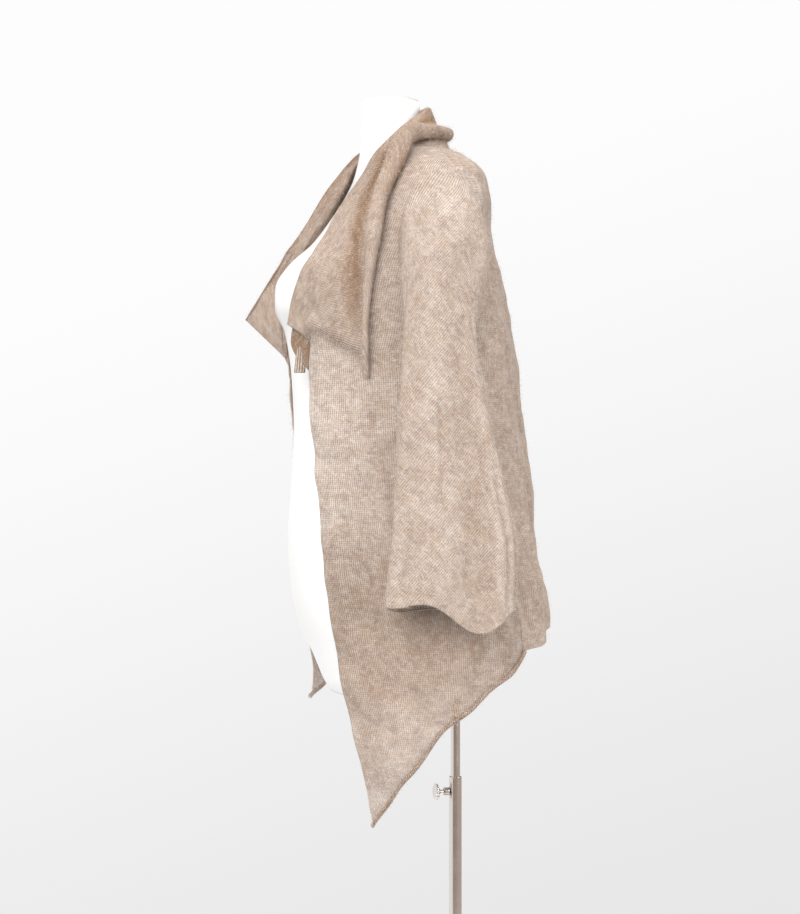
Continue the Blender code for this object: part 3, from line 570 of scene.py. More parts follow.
def panel_grid(hems, ends, columns):
    """A panel's points, from its hem heights down its columns and the angles at the ends of its rows."""
    shoulder = np.linspace(NECK_SEAM, SHOULDER_TIP, SHOULDER_ROWS)
    turn = np.linspace(0, math.pi, ARMHOLE_ROWS)[1:]
    armhole = (SHOULDER_TIP + UNDERARM) / 2 + (SHOULDER_TIP - UNDERARM) / 2 * np.cos(turn)
    below = int((UNDERARM - hems.min()) / BODY_STEP)
    share = np.linspace(0, 1, below + 1)[1:, None]
    fixed = np.concatenate([shoulder, armhole])[:, None] * np.ones(columns)
    heights = np.concatenate([fixed, UNDERARM + (hems[None, :] - UNDERARM) * share])
    start, end = ends(heights)
    angles = start + (end - start) * np.linspace(0, 1, columns)
    return cloth_points(heights, angles)


def metres(grid):
    """Lengths across and down a grid from its first corner, as its flat pattern."""
    across = np.linalg.norm(np.diff(grid, axis=1), axis=2)
    down = np.linalg.norm(np.diff(grid, axis=0), axis=2)
    u = np.concatenate([np.zeros((len(grid), 1)), np.cumsum(across, axis=1)], axis=1)
    v = np.concatenate([np.zeros((1, grid.shape[1])), np.cumsum(down, axis=0)])
    return np.stack([u, v], axis=-1)


def hung_pattern(grid, start):
    """A body panel's flat pattern: across from its start column, down its middle, plumb below the armhole."""
    flat = metres(grid)
    middle = grid.shape[1] // 2
    heights = grid[:, middle, 2]
    underarm = int(np.argmin(np.abs(heights - UNDERARM)))
    plumb = flat[underarm, middle, 1] + heights[underarm] - grid[..., 2]
    above = np.arange(len(grid))[:, None] <= underarm
    down = np.where(above, flat[:, middle, 1][:, None], plumb)
    return np.stack([flat[..., 0] - flat[:, start, 0][:, None], down], axis=-1)


def normals(grid, around=False):
    """Directions out of a grid. Where its rows crowd and lean, the rows beside them say more than its own."""
    down = np.gradient(grid, axis=0)
    if around:
        across = np.roll(grid, -1, axis=1) - np.roll(grid, 1, axis=1)
    else:
        across = np.gradient(grid, axis=1)
    out = np.cross(across, down)
    spread = np.linalg.norm(across, axis=2, keepdims=True) * np.linalg.norm(down, axis=2, keepdims=True)
    out /= np.maximum(spread, 1e-12)
    sure = np.linalg.norm(out, axis=2, keepdims=True)
    beside = sum(np.roll(out, step, axis=0) for step in (-4, -3, -2, 2, 3, 4)) / 6
    out = out * sure + beside * (1 - sure)
    return out / np.maximum(np.linalg.norm(out, axis=2, keepdims=True), 1e-12)


def outward(grid):
    """Directions out of a body panel, away from the form."""
    out = normals(grid)
    return out * np.sign((out * (grid - BODY_MIDDLE))[:, grid.shape[1] // 2].sum())


def creased(flat, creases):
    """How far the listed creases carry each place of a piece out."""
    high, wide = flat.shape[:2]
    out = np.zeros((high, wide))
    for crease in creases:
        start = flat[int(crease.from_row * (high - 1)), int(crease.from_column * (wide - 1))]
        end = flat[int(crease.to_row * (high - 1)), int(crease.to_column * (wide - 1))]
        line = end - start
        along = np.clip(((flat - start) @ line) / (line @ line), 0, 1)
        away = np.linalg.norm(flat - start - along[..., None] * line, axis=-1)
        fade = np.sin(math.pi * np.clip(along, 0.02, 0.98)) ** 0.7
        out += crease.depth * fade * np.exp(-(away / crease.width) ** 2)
    return out


def rippled(flat, seed):
    """Low waves in several directions, the same each run."""
    draw = np.random.default_rng(seed)
    out = np.zeros(flat.shape[:2])
    for ripple in RIPPLES:
        for _ in range(RIPPLE_DIRECTIONS):
            turn = draw.uniform(0, math.pi)
            phase = draw.uniform(0, 2 * math.pi)
            stretch = draw.uniform(0.7, 1.4)
            wave = 2 * math.pi / (ripple.spacing * stretch)
            out += ripple.depth / 2 * np.sin(wave * (flat @ [math.cos(turn), math.sin(turn)]) + phase)
    return out


def rolled(grid, out, roll, turn, outside):
    """A grid with its last row rolled up, to its outside or its inside."""
    ahead = grid[-1] - grid[-3]
    ahead /= np.linalg.norm(ahead, axis=1, keepdims=True)
    side = out[-1] * (1 if outside else -1)
    rows = []
    for angle in np.linspace(0, turn, ROLL_STEPS + 1)[1:]:
        tight = roll * (1 - ROLL_TIGHTENS * angle / turn)
        rows.append(grid[-1] + ahead * tight * math.sin(angle) + side * (roll - tight * math.cos(angle)))
    return np.concatenate([grid, np.array(rows)])


def carried_on(values, grid):
    """Values by rows and columns, with the last row's carried on over the rows that a roll adds to a grid."""
    return np.pad(values, ((0, len(grid) - len(values)), (0, 0)), mode="edge")


def turned_pattern(flat, lean, offset):
    """The knit's own coordinates: the flat pattern turned, and moved to a place of its own in the yarn."""
    across = flat[..., 0] * math.cos(lean) + flat[..., 1] * math.sin(lean)
    down = flat[..., 1] * math.cos(lean) - flat[..., 0] * math.sin(lean)
    return np.stack([across + offset, down], axis=-1)


# Meshes

def link(name, mesh, material, body):
    """Makes an object of a mesh with a material, which rides on a body."""
    mesh.materials.append(material)
    thing = bpy.data.objects.new(name, mesh)
    bpy.context.scene.collection.objects.link(thing)
    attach(thing, body)
    return thing


def faces_of(high, wide, around=False):
    """Corner numbers of a grid's quads, and the same as rows and columns."""
    i, j = np.meshgrid(np.arange(high - 1), np.arange(wide if around else wide - 1), indexing="ij")
    rows = np.stack([i, i + 1, i + 1, i], axis=-1).reshape(-1, 4)
    columns = np.stack([j, j, j + 1, j + 1], axis=-1).reshape(-1, 4)
    return rows * wide + columns % wide, rows, columns


def mesh_of(name, points, faces, flat=None):
    """A smooth mesh with its faces pointing out, and its pattern in metres as the UV map."""
    corners = points[faces]
    volume = np.einsum("ij,ij->i", corners[:, 0], np.cross(corners[:, 1], corners[:, 2])).sum()
    volume += np.einsum("ij,ij->i", corners[:, 0], np.cross(corners[:, 2], corners[:, 3])).sum()
    if volume < 0:
        faces = faces[:, ::-1]
        flat = None if flat is None else flat[:, ::-1]
    mesh = bpy.data.meshes.new(name)
    mesh.from_pydata(points, [], faces)
    if flat is not None:
        layer = mesh.uv_layers.new(name="Knit")
        layer.uv.foreach_set("vector", flat.reshape(-1).astype(np.float32))
    mesh.shade_smooth()
    mesh.update()
    return mesh


def painted_light_streak(grid):
    """How much paler the knit is painted in the streak over the shoulder: painted light."""
    run = STREAK_BACK - STREAK_FRONT
    place = grid[..., 1:] - STREAK_FRONT
    along = np.clip((place @ run) / (run @ run), 0, 1)
    apart = np.linalg.norm(place - along[..., None] * run, axis=-1)
    return STREAK_SHADE * np.exp(-(apart / STREAK_WIDTH) ** 2)


def shell(name, grid, flat, thick, openness, shade, around=False):
    """A closed thin wall on a grid. Flat has a column more than the grid where it runs around."""
    high, wide = grid.shape[:2]
    out = normals(grid, around)
    outer = (grid + out * thick / 2).reshape(-1, 3)
    inner = (grid - out * thick / 2).reshape(-1, 3)
    quads, rows, columns = faces_of(high, wide, around)
    far = high * wide
    faces = [quads, quads[:, ::-1] + far]
    pattern = [flat[rows, columns], flat[rows, columns][:, ::-1]]
    i, j = np.arange(high - 1), np.arange(wide if around else wide - 1)
    rims = [((0, j), (0, j + 1), False), ((high - 1, j), (high - 1, j + 1), True)]
    if not around:
        rims += [((i, 0), (i + 1, 0), True), ((i, wide - 1), (i + 1, wide - 1), False)]
    for start, end, flip in rims:
        edge = np.stack([row * wide + column % wide for row, column in (start, end)], axis=1)
        rim = np.concatenate([edge, edge[:, ::-1] + far], axis=1)
        ends = np.stack([flat[start], flat[end], flat[end], flat[start]], axis=1)
        faces.append(rim[:, ::-1] if flip else rim)
        pattern.append(ends[:, ::-1] if flip else ends)
    mesh = mesh_of(name, np.concatenate([outer, inner]), np.concatenate(faces), np.concatenate(pattern))
    # Each point's openness of the knit, and its painted shade, which darkens the knit's colour.
    for label, values in (("openness", openness), ("deep", shade)):
        layer = mesh.attributes.new(label, "FLOAT", "POINT")
        layer.data.foreach_set("value", np.tile(values.reshape(-1), 2).astype(np.float32))
    return mesh


def turned(name, profile, steps, lobes=0, lobe_depth=0.0):
    """A closed solid turned about Z from (radius, height) corners, outside first and upward.

    Lobes scallop it.
    """
    turns = np.linspace(0, 2 * math.pi, steps, endpoint=False)
    reach, height = np.array(profile).T
    wave = 1 - lobe_depth * (0.5 - 0.5 * np.cos(lobes * turns))
    reach = reach[:, None] * np.ones(steps)
    shaped = np.where(reach > LOBED_FROM * reach.max(), reach * wave, reach)
    level = height[:, None] * np.ones(steps)
    grid = np.stack([shaped * np.cos(turns), shaped * np.sin(turns), level], axis=-1)
    quads, _, _ = faces_of(len(profile) + 1, steps, around=True)
    count = len(profile) * steps
    return mesh_of(name, grid.reshape(-1, 3), quads % count)


def rounded(corners, bevel, steps=4):
    """A profile with each of its corners rounded, apart from those on the axis."""
    points = [np.array(corner, float) for corner in corners]
    made = []
    for number, here in enumerate(points):
        before, after = points[number - 1], points[(number + 1) % len(points)]
        if here[0] < 1e-9:
            made.append(here)
            continue
        reach = min(bevel, 0.45 * np.linalg.norm(before - here), 0.45 * np.linalg.norm(after - here))
        first = here + (before - here) / np.linalg.norm(before - here) * reach
        last = here + (after - here) / np.linalg.norm(after - here) * reach
        for t in np.linspace(0, 1, steps + 1):
            made.append((1 - t) ** 2 * first + 2 * t * (1 - t) * here + t * t * last)
    return made


# Materials

def add(tree, kind, inputs=None, **settings):
    """Adds a node with its settings, and sets or links its inputs."""
    made = tree.nodes.new(kind)
    for name, value in settings.items():
        setattr(made, name, value)
    for name, value in (inputs or {}).items():
        if isinstance(value, bpy.types.NodeSocket):
            tree.links.new(value, made.inputs[name])
        else:
            made.inputs[name].default_value = value
    return made


def noise(tree, place, scale, detail, roughness=0.5, output="Fac"):
    """Soft noise at a place."""
    return add(tree, "ShaderNodeTexNoise", {
        "Vector": place, "Scale": scale, "Detail": detail, "Roughness": roughness,
    }).outputs[output]


def remapped(tree, value, low, high, least=0.0, most=1.0, steps="LINEAR"):
    """A value, taken from the range of low to high to that of least to most."""
    return add(tree, "ShaderNodeMapRange", {
        0: value, 1: low, 2: high, 3: least, 4: most,
    }, interpolation_type=steps).outputs[0]


def number(tree, operation, *values):
    """The number that an operation makes of numbers."""
    return add(tree, "ShaderNodeMath", dict(enumerate(values)), operation=operation).outputs[0]


def vector(tree, operation, *values, output="Vector"):
    """The vector that an operation makes of vectors, or the number where its output is Value."""
    return add(tree, "ShaderNodeVectorMath", dict(enumerate(values)), operation=operation).outputs[output]


def scaled(tree, colour, factor):
    """A colour, made brighter or darker by a factor."""
    made = add(tree, "ShaderNodeVectorMath", {0: colour, "Scale": factor}, operation="SCALE")
    return made.outputs["Vector"]


def mixed(tree, amount, first, second):
    """A colour between two colours."""
    return add(tree, "ShaderNodeMix", {0: amount, 6: first, 7: second}, data_type="RGBA").outputs[2]


def between(tree, amount, first, second):
    """A shader between two shaders."""
    return add(tree, "ShaderNodeMixShader", {0: amount, 1: first, 2: second}).outputs[0]


def opaque(colour):
    return tuple(colour) + (1.0,)


def blank_material(name):
    material = bpy.data.materials.new(name)
    material.use_nodes = True
    material.node_tree.nodes.clear()
    return material, material.node_tree


def brushed_mohair_knit(knit):
    """Fine hand-framed mohair stocking stitch, brushed.

    It gives the eye soft rows of small leaning stitches, heathered from cream to tan, and a web so open that
    what lies behind it shows pale through the gaps.
    """
    material, tree = blank_material("Brushed mohair knit")
    flat = add(tree, "ShaderNodeUVMap", uv_map="Knit").outputs[0]
    wander = noise(tree, flat, 70.0, 2.0, output="Color")
    moved = vector(tree, "MULTIPLY_ADD", wander, (0.0030, 0.0030, 0.0), flat)
    place = add(tree, "ShaderNodeSeparateXYZ", {0: moved}).outputs
    # Stitches: across a column the two legs of each stitch lean to its middle, and the gaps lie between.
    wale = number(tree, "DIVIDE", place["X"], knit.stitch_width)
    leg = number(tree, "PINGPONG", wale, 0.5)
    course = number(tree, "DIVIDE", place["Y"], knit.course_height)
    leaning = number(tree, "MULTIPLY_ADD", leg, 1.1, course)
    rows = number(tree, "SINE", number(tree, "MULTIPLY", leaning, 2 * math.pi))
    ridge = number(tree, "MULTIPLY_ADD", leg, -2.0, 0.50)
    stitch = number(tree, "MULTIPLY_ADD", rows, 0.22, ridge)
    # Heather: slow blotches, greyer ones, streaks along the yarn, and flecks.
    blotch = noise(tree, flat, 34.0, 5.0, 0.66)
    grey = noise(tree, moved, 55.0, 5.0, 0.7)
    streak = noise(tree, vector(tree, "MULTIPLY", flat, (95.0, 150.0, 1.0)), 1.0, 3.0, 0.6)
    fleck = noise(tree, flat, 420.0, 2.0)
    colour = opaque(knit.beige)
    for amount, low, high, most, hue in (
        (blotch, 0.38, 0.68, 0.62, knit.tan),
        (grey, 0.44, 0.68, 0.62, knit.mauve),
        (streak, 0.42, 0.74, 0.50, knit.pale),
    ):
        share = remapped(tree, amount, low, high, most=most, steps="SMOOTHSTEP")
        colour = mixed(tree, share, colour, opaque(hue))
    speck = remapped(tree, fleck, 0.30, 0.72, 0.80, 1.14)
    # The low places between the stitches are a little darker: painted shade.
    depth = remapped(tree, stitch, -0.5, 0.5, 0.972, 1.018)
    # Painted shade, from a mesh attribute, makes the pile darker and warmer where it lies in creases, folds
    # and hollows.
    deep = add(tree, "ShaderNodeAttribute", attribute_name="deep").outputs["Fac"]
    warmer = vector(tree, "MULTIPLY_ADD", deep, PAINTED_SHADE_TINT, (1.0, 1.0, 1.0))
    pile_with_painted_shade = vector(tree, "MULTIPLY", colour, warmer)
    yarn = scaled(tree, pile_with_painted_shade, number(tree, "MULTIPLY", speck, depth))
    # Gaps: wider where the piece hangs open, and uneven all over.
    sheer = add(tree, "ShaderNodeAttribute", attribute_name="openness").outputs["Fac"]
    thin = number(tree, "MULTIPLY_ADD", blotch, -0.30, 0.02)
    level = number(tree, "MULTIPLY_ADD", sheer, 0.42, thin)
    above = number(tree, "SUBTRACT", stitch, level)
    least = remapped(tree, sheer, 0.30, 0.95, 0.70, 0.30)
    web = remapped(tree, above, -0.42, 0.16, least, steps="SMOOTHSTEP")
    fade = remapped(tree, sheer, 0.8, 1.9, 1.0, 0.0)
    cover = number(tree, "MULTIPLY", web, fade)
    rough = number(tree, "MULTIPLY_ADD", fleck, 0.5, stitch)
    bump = add(tree, "ShaderNodeBump", {"Height": rough, "Strength": 0.13, "Distance": 0.0010}).outputs[0]
    cloth = add(tree, "ShaderNodeBsdfPrincipled", {
        "Base Color": yarn, "Roughness": 0.92, "Specular IOR Level": 0.12, "Normal": bump,
        "Sheen Weight": 0.22, "Sheen Roughness": 0.45, "Sheen Tint": opaque(knit.pale), "Alpha": cover,
    }).outputs[0]
    glow = add(tree, "ShaderNodeBsdfTranslucent", {"Color": yarn, "Normal": bump}).outputs[0]
    clear = add(tree, "ShaderNodeBsdfTransparent").outputs[0]
    both = between(tree, 0.16, cloth, between(tree, cover, clear, glow))
    add(tree, "ShaderNodeOutputMaterial", {"Surface": both})
    return material


def mohair_fibre(knit):
    """Loose mohair hairs brushed out of the yarn: fine, pale and a little shiny, so that edges look soft."""
    material, tree = blank_material("Mohair fibre")
    place = add(tree, "ShaderNodeTexCoord").outputs["Object"]
    hue = mixed(tree, noise(tree, place, 60.0, 2.0), opaque(knit.beige), opaque(knit.pale))
    hair = add(tree, "ShaderNodeBsdfPrincipled", {
        "Base Color": hue, "Roughness": 0.6, "Specular IOR Level": 0.3,
        "Sheen Weight": 0.3, "Sheen Roughness": 0.4, "Sheen Tint": opaque(knit.pale),
    })
    add(tree, "ShaderNodeOutputMaterial", {"Surface": hair.outputs[0]})
    return material


def white_lacquered_shell(stand):
    """Moulded glass-fibre torso, sprayed white and polished: bright, with a soft even gloss."""
    material, tree = blank_material("White lacquered shell")
    place = add(tree, "ShaderNodeTexCoord").outputs["Object"]
    peel = noise(tree, place, 240.0, 2.0)
    handled = noise(tree, place, 5.0, 2.0)
    bump = add(tree, "ShaderNodeBump", {"Height": peel, "Strength": 0.05, "Distance": 0.0004})
    shader = add(tree, "ShaderNodeBsdfPrincipled", {
        "Base Color": scaled(tree, stand.shell[:], remapped(tree, handled, 0.3, 0.7, 0.985, 1.0)),
        "Roughness": remapped(tree, handled, 0.3, 0.7, 0.27, 0.32), "Normal": bump.outputs[0],
        "IOR": 1.5, "Coat Weight": 0.25, "Coat Roughness": 0.12,
    })
    add(tree, "ShaderNodeOutputMaterial", {"Surface": shader.outputs[0]})
    return material


def drawn_metal(name, colour, roughness, grain):
    """Metal with fine lines along its length, left by drawing or brushing: they break up its reflections."""
    material, tree = blank_material(name)
    place = add(tree, "ShaderNodeTexCoord").outputs["Object"]
    lines = noise(tree, vector(tree, "MULTIPLY", place, (1 / grain, 1 / grain, 6.0)), 1.0, 2.0)
    smear = noise(tree, place, 30.0, 3.0)
    bump = add(tree, "ShaderNodeBump", {"Height": lines, "Strength": 0.06, "Distance": 0.0002})
    shader = add(tree, "ShaderNodeBsdfPrincipled", {
        "Base Color": scaled(tree, colour[:], remapped(tree, lines, 0.3, 0.7, 0.94, 1.03)), "Metallic": 1.0,
        "Roughness": remapped(tree, smear, 0.3, 0.7, roughness * 0.75, roughness * 1.3),
        "Normal": bump.outputs[0],
    })
    add(tree, "ShaderNodeOutputMaterial", {"Surface": shader.outputs[0]})
    return material


def made_once(name, make, *values):
    """A material by its name, made when it is first asked for."""
    return bpy.data.materials.get(name) or make(*values)


def metal(name, stand):
    """One of the stand's metals."""
    kind = METALS[name]
    return made_once(name, drawn_metal, name, getattr(stand, kind.setting), kind.roughness, kind.grain)


# Settings that a user would change

def length_setting(name, description, default):
    return bpy.props.FloatProperty(name=name, description=description, default=default, unit="LENGTH")


def colour_setting(name, description, hex_colour):
    return bpy.props.FloatVectorProperty(
        name=name, description=description, default=linear(hex_colour), subtype="COLOR")


def power_setting(name, description, default):
    return bpy.props.FloatProperty(name=name, description=description, default=default, unit="POWER")


class KnitSettings(bpy.types.PropertyGroup):
    """Sizes and colours of the knit."""

    wall: length_setting("Wall", "Thickness of the knit", 0.0012)
    stitch_width: length_setting("Stitch width", "Spacing of the columns, coarse so that it shows", 0.0031)
    course_height: length_setting("Course height", "Spacing of the rows, coarse so that it shows", 0.0027)
    fibre_length: length_setting("Fibre length", "Longest loose hair", 0.0125)
    fibre_width: length_setting("Fibre width", "A tuft of hairs, wider than one so that it shows", 0.00023)
    fibres: bpy.props.IntProperty(
        name="Fibres", description="Loose hairs on each square metre", default=58000)
    pale: colour_setting("Cream", "Palest yarn", "#E5DCD4")
    beige: colour_setting("Beige", "Main yarn", "#CAB7A8")
    tan: colour_setting("Tan", "Darker yarn", "#AF947E")
    mauve: colour_setting("Mauve grey", "Greyer yarn", "#A69288")


class StandSettings(bpy.types.PropertyGroup):
    """Sizes and colours of the form and its stand."""

    bevel: length_setting("Bevel", "Rounding of turned edges", 0.0008)
    shell: colour_setting("Shell", "Lacquer of the torso", "#F6F5F3")
    tube: colour_setting("Tube", "Chromed tube", "#DAD5D0")
    steel: colour_setting("Steel", "Satin steel", "#BDBAB4")
    blasted: colour_setting("Neck plate", "Bead-blasted steel", "#F4F3F1")


class StageSettings(bpy.types.PropertyGroup):
    """Light and ground of the picture."""

    sky: bpy.props.FloatProperty(name="Surroundings", description="Brightness all round", default=1.0)
    key: power_setting("Key light", "Soft box on the camera's side, above and before the form", 56.0)
    fill: power_setting("Fill light", "Soft box on the camera's side, behind the form", 27.0)
    floor: length_setting("Floor", "Radius at which the floor has faded", 1.25)


# Pieces

def cloth_piece(name, grid, knit, flat, openness, shade, lean=0.0, offset=0.0, around=False):
    """A cut piece: its shell, which stands for a node and hides it."""
    mesh = shell(name, grid, turned_pattern(flat, lean, offset), knit.wall, openness, shade, around)
    material = made_once("Brushed mohair knit", brushed_mohair_knit, knit)
    thing = link(name, mesh, material, "torso")
    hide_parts(name.removeprefix("cardigan_"))


class CARDIGAN_OT_back(bpy.types.Operator):
    """Make the cardigan's back, with its creases and turned hem"""

    bl_idname = "cardigan.back"
    bl_label = "Back"

    def execute(self, context):
        columns = int(CUTS["cardigan_back"].width / BODY_STEP)
        share = np.linspace(0, 1, columns)
        hems = HEM_LEFT[-1].height + HEM_RISE_BACK * share + HEM_ROLL
        hems += HEM_WAVE * np.sin(share * 31.0) * np.cos(share * 11.0 + 0.6)
        grid = panel_grid(hems, lambda h: (side_angle(h, 1), 360.0 - side_angle(h, 1)), columns)
        flat = metres(grid)
        from_seam = np.minimum(flat[..., 0], flat[:, -1:, 0] - flat[..., 0])
        rest = ease_in(0.0, 0.08, flat[..., 1]) * ease_in(0, 0.02, from_seam)
        out = outward(grid)
        hung = hung_pattern(grid, columns // 2)
        creases = creased(hung, BACK_CREASES)
        grid = grid + out * ((creases + rippled(hung, 11)) * rest)[..., None]
        grid = rolled(grid, out, EDGE_TURN_RADIUS, EDGE_TURN, outside=False)
        stretched = ease_in(*STRETCHED, grid[..., 2])
        # Painted shade on the back: a little darker below the shoulders, darker in its troughs and paler on
        # its ridges.
        cloth_piece(
            "cardigan_back", grid, context.scene.cardigan_knit, hung_pattern(grid, columns // 2),
            openness=0.26 + 0.30 * stretched,
            shade=0.03 * (1 - stretched) - FOLD_SHADE * carried_on(creases, grid))
        return {"FINISHED"}


class CARDIGAN_OT_fronts(bpy.types.Operator):
    """Make the two open fronts, with their long points and rolled hems"""

    bl_idname = "cardigan.fronts"
    bl_label = "Fronts"

    def execute(self, context):
        for name, side, hem, seed in (("left", 1, HEM_LEFT, 21), ("right", -1, HEM_RIGHT, 22)):
            columns = int(CUTS[f"cardigan_front_{name}"].width / BODY_STEP)
            share = np.linspace(0, 1, columns)
            hems = read(hem, "share", "height", share) + HEM_ROLL
            hems += HEM_WAVE * np.sin(share * 23.0 + seed) * ease_in(0.0, 0.2, share)
            grid = panel_grid(hems, lambda h: (front_angle(h, side), side * side_angle(h, -1)), columns)
            flat = metres(grid)
            out = outward(grid)
            rest = ease_in(0.0, 0.10, flat[..., 1]) * ease_in(0, 0.02, flat[:, -1:, 0] - flat[..., 0])
            rest *= 1 - 0.9 * ease_in(*SMOOTH_FROM, grid[..., 2])
            hung = hung_pattern(grid, 0)
            grid = grid + out * ((creased(hung, FRONT_CREASES) + rippled(hung, seed)) * rest)[..., None]
            grid = rolled(grid, out, HEM_ROLL, HEM_ROLL_TURN, outside=True)
            from_edge, down = np.moveaxis(metres(grid), -1, 0)
            height = grid[..., 2]
            low = 1 - ease_in(0.02, 0.17, down[-1:] - down)
            edge = 1 - ease_in(0.01, 0.13, from_edge)
            openness = 0.30 + 0.36 * low + 0.26 * edge + 0.25 * ease_in(*STRETCHED, height)
            # Painted shadow below the sleeves, painted light where the form lies close behind and near the
            # free edge, the painted light of the shoulder streak, and painted shade on the rolled hem.
            shadow = ease_in(*SHADOW_GROWS, height) * (1 - ease_in(*SHADOW_FADES, height))
            light = ease_in(*LIGHT_GROWS, height) * (1 - 0.5 * ease_in(*LIGHT_HALVES, height))
            shade = 0.12 * shadow - light * (0.04 + 0.20 * edge) - painted_light_streak(grid)
            shade[len(flat):] = HEM_SHADE
            cloth_piece(
                f"cardigan_front_{name}", grid, context.scene.cardigan_knit, hung_pattern(grid, 0),
                openness, shade, offset=2.0 + side)
        return {"FINISHED"}


def armhole_ring(side, turns):
    """The sleeve's first ring, on the armhole's edge."""
    middle, half = (SHOULDER_TIP + UNDERARM) / 2, (SHOULDER_TIP - UNDERARM) / 2
    height = middle + half * np.cos(turns)
    angle = SHOULDER_ANGLE - ARMHOLE_SPREAD * np.sin(turns)
    return cloth_points(height, side * angle)


def sleeve_ring(place, turns):
    """A left sleeve's ring at a place from its armhole to its cuff, without its folds."""
    size = {name: read(SLEEVE, "place", name, np.array(place, float)) for name in SleeveRing._fields[1:]}
    outer = np.array([size["outer_x"], 0.0, size["outer_z"]])
    inner = np.array([size["inner_x"], 0.0, size["inner_z"]])
    ring = (outer + inner) / 2 + (outer - inner) / 2 * np.cos(turns)[:, None]
    ring[:, 1] = (size["front"] + size["back"]) / 2 - (size["back"] - size["front"]) / 2 * np.sin(turns)
    ring[:, 2] -= size["dip"] * np.maximum(0.0, np.cos(turns + DIP_TURN)) ** DIP_NARROWS
    return ring


def sleeve_folds(places, turns):
    """How far the folds carry a sleeve's wall sideways, by rows and columns."""
    out = np.zeros((len(places), len(turns)))
    for fold in SLEEVE_FOLDS:
        along = np.clip((places - fold.first) / (fold.last - fold.first), 0, 1)
        shape = swelling(np.degrees(turns), fold.turn, fold.width)
        out += fold.depth * np.sin(math.pi * along)[:, None] * shape
    return out


def through_rings(rings, rows):
    """A grid through rings by a smooth curve down each column."""
    rings = np.array(rings)
    at = np.linspace(0, len(rings) - 1, rows)
    low = np.clip(at.astype(int), 0, len(rings) - 2)
    t = (at - low)[:, None, None]
    a, b, c, d = (rings[np.clip(low + k, 0, len(rings) - 1)] for k in (-1, 0, 1, 2))
    square, cube = 2 * a - 5 * b + 4 * c - d, 3 * b - a - 3 * c + d
    return 0.5 * (2 * b + (c - a) * t + square * t ** 2 + cube * t ** 3)


class CARDIGAN_OT_sleeves(bpy.types.Operator):
    """Make the two long empty sleeves, with their hanging folds and open rolled cuffs"""

    bl_idname = "cardigan.sleeves"
    bl_label = "Sleeves"

    def execute(self, context):
        turns = np.linspace(-math.pi, math.pi, SLEEVE_COLUMNS, endpoint=False)
        places = np.linspace(-1, len(SLEEVE) - 1, SLEEVE_ROWS)
        for name, side, seed in (("left", 1, 31), ("right", -1, 32)):
            mirror = np.array([side, 1, 1])
            rings = [armhole_ring(side, turns)]
            rings += [sleeve_ring(place, turns) * mirror for place in range(len(SLEEVE))]
            grid = through_rings(rings, SLEEVE_ROWS)
            folds = sleeve_folds(places, turns)
            grid[..., 0] += side * np.cos(turns) * folds
            flat = metres(np.concatenate([grid, grid[:, :1]], axis=1))
            out = normals(grid, around=True)
            out *= np.sign((out * (grid - grid.mean(axis=1, keepdims=True)))[SLEEVE_ROWS // 2].sum())
            rest = ease_in(0.02, 0.12, flat[:, :-1, 1])
            grid = grid + out * (rippled(flat[:, :-1], seed) * 0.8 * rest)[..., None]
            wave = HEM_WAVE * np.sin(5 * turns + seed) * np.linspace(0, 1, CUFF_WAVE_ROWS)[:, None]
            grid[-CUFF_WAVE_ROWS:, :, 2] += wave
            grid = rolled(grid, out, EDGE_TURN_RADIUS, EDGE_TURN, outside=False)
            closed = np.concatenate([grid, grid[:, :1]], axis=1)
            round_it = metres(closed)[..., 0]
            from_middle = round_it[:, SLEEVE_COLUMNS // 2, None] - round_it
            flat = np.stack([from_middle, NECK_SEAM - closed[..., 2]], axis=-1)
            # Painted shade in the folds' troughs and painted light on their ridges, and painted light over
            # the top of the sleeve and along the shoulder streak.
            top = (1 - ease_in(0.02, 0.12, metres(grid)[..., 1])) * ease_in(-0.2, 0.6, np.cos(turns))
            shade = carried_on(np.clip(-FOLD_SHADE * folds, *SLEEVE_SHADE) - 0.09 * top[:len(folds)], grid)
            cloth_piece(
                f"cardigan_sleeve_{name}", grid, context.scene.cardigan_knit, flat,
                openness=0.26 + 0.34 * top, shade=shade - painted_light_streak(grid),
                lean=SLEEVE_LEAN, offset=5.0 + side, around=True)
        return {"FINISHED"}


def neckline(way):
    """Places of the collar's seam. Way runs from the right end (-1) by the back (0) to the left end (1)."""
    side = np.where(way >= 0, 1, -1)
    share = np.abs(way)
    at_neck = share < NECK_WAY
    below = NECK_SEAM + (COLLAR_END - NECK_SEAM) * (share - NECK_WAY) / (1 - NECK_WAY)
    height = np.where(at_neck, NECK_SEAM, below)
    front = np.where(side > 0, front_angle(height, 1), front_angle(height, -1))
    apart = np.degrees(COLLAR_GAP / radius(cloth_section(height), front))
    angle = np.where(at_neck, side * (180.0 - (180.0 - NECK_TURN) * share / NECK_WAY), front - side * apart)
    return height + COLLAR_GAP, angle


def valley_place(ways):
    """Where the trough beside the curled edge lies, as a share of the fall, in rows."""
    return np.clip(VALLEY_TOP + VALLEY_SLOPE * (np.abs(ways) - 0.30), *VALLEY_BETWEEN)[:, None]


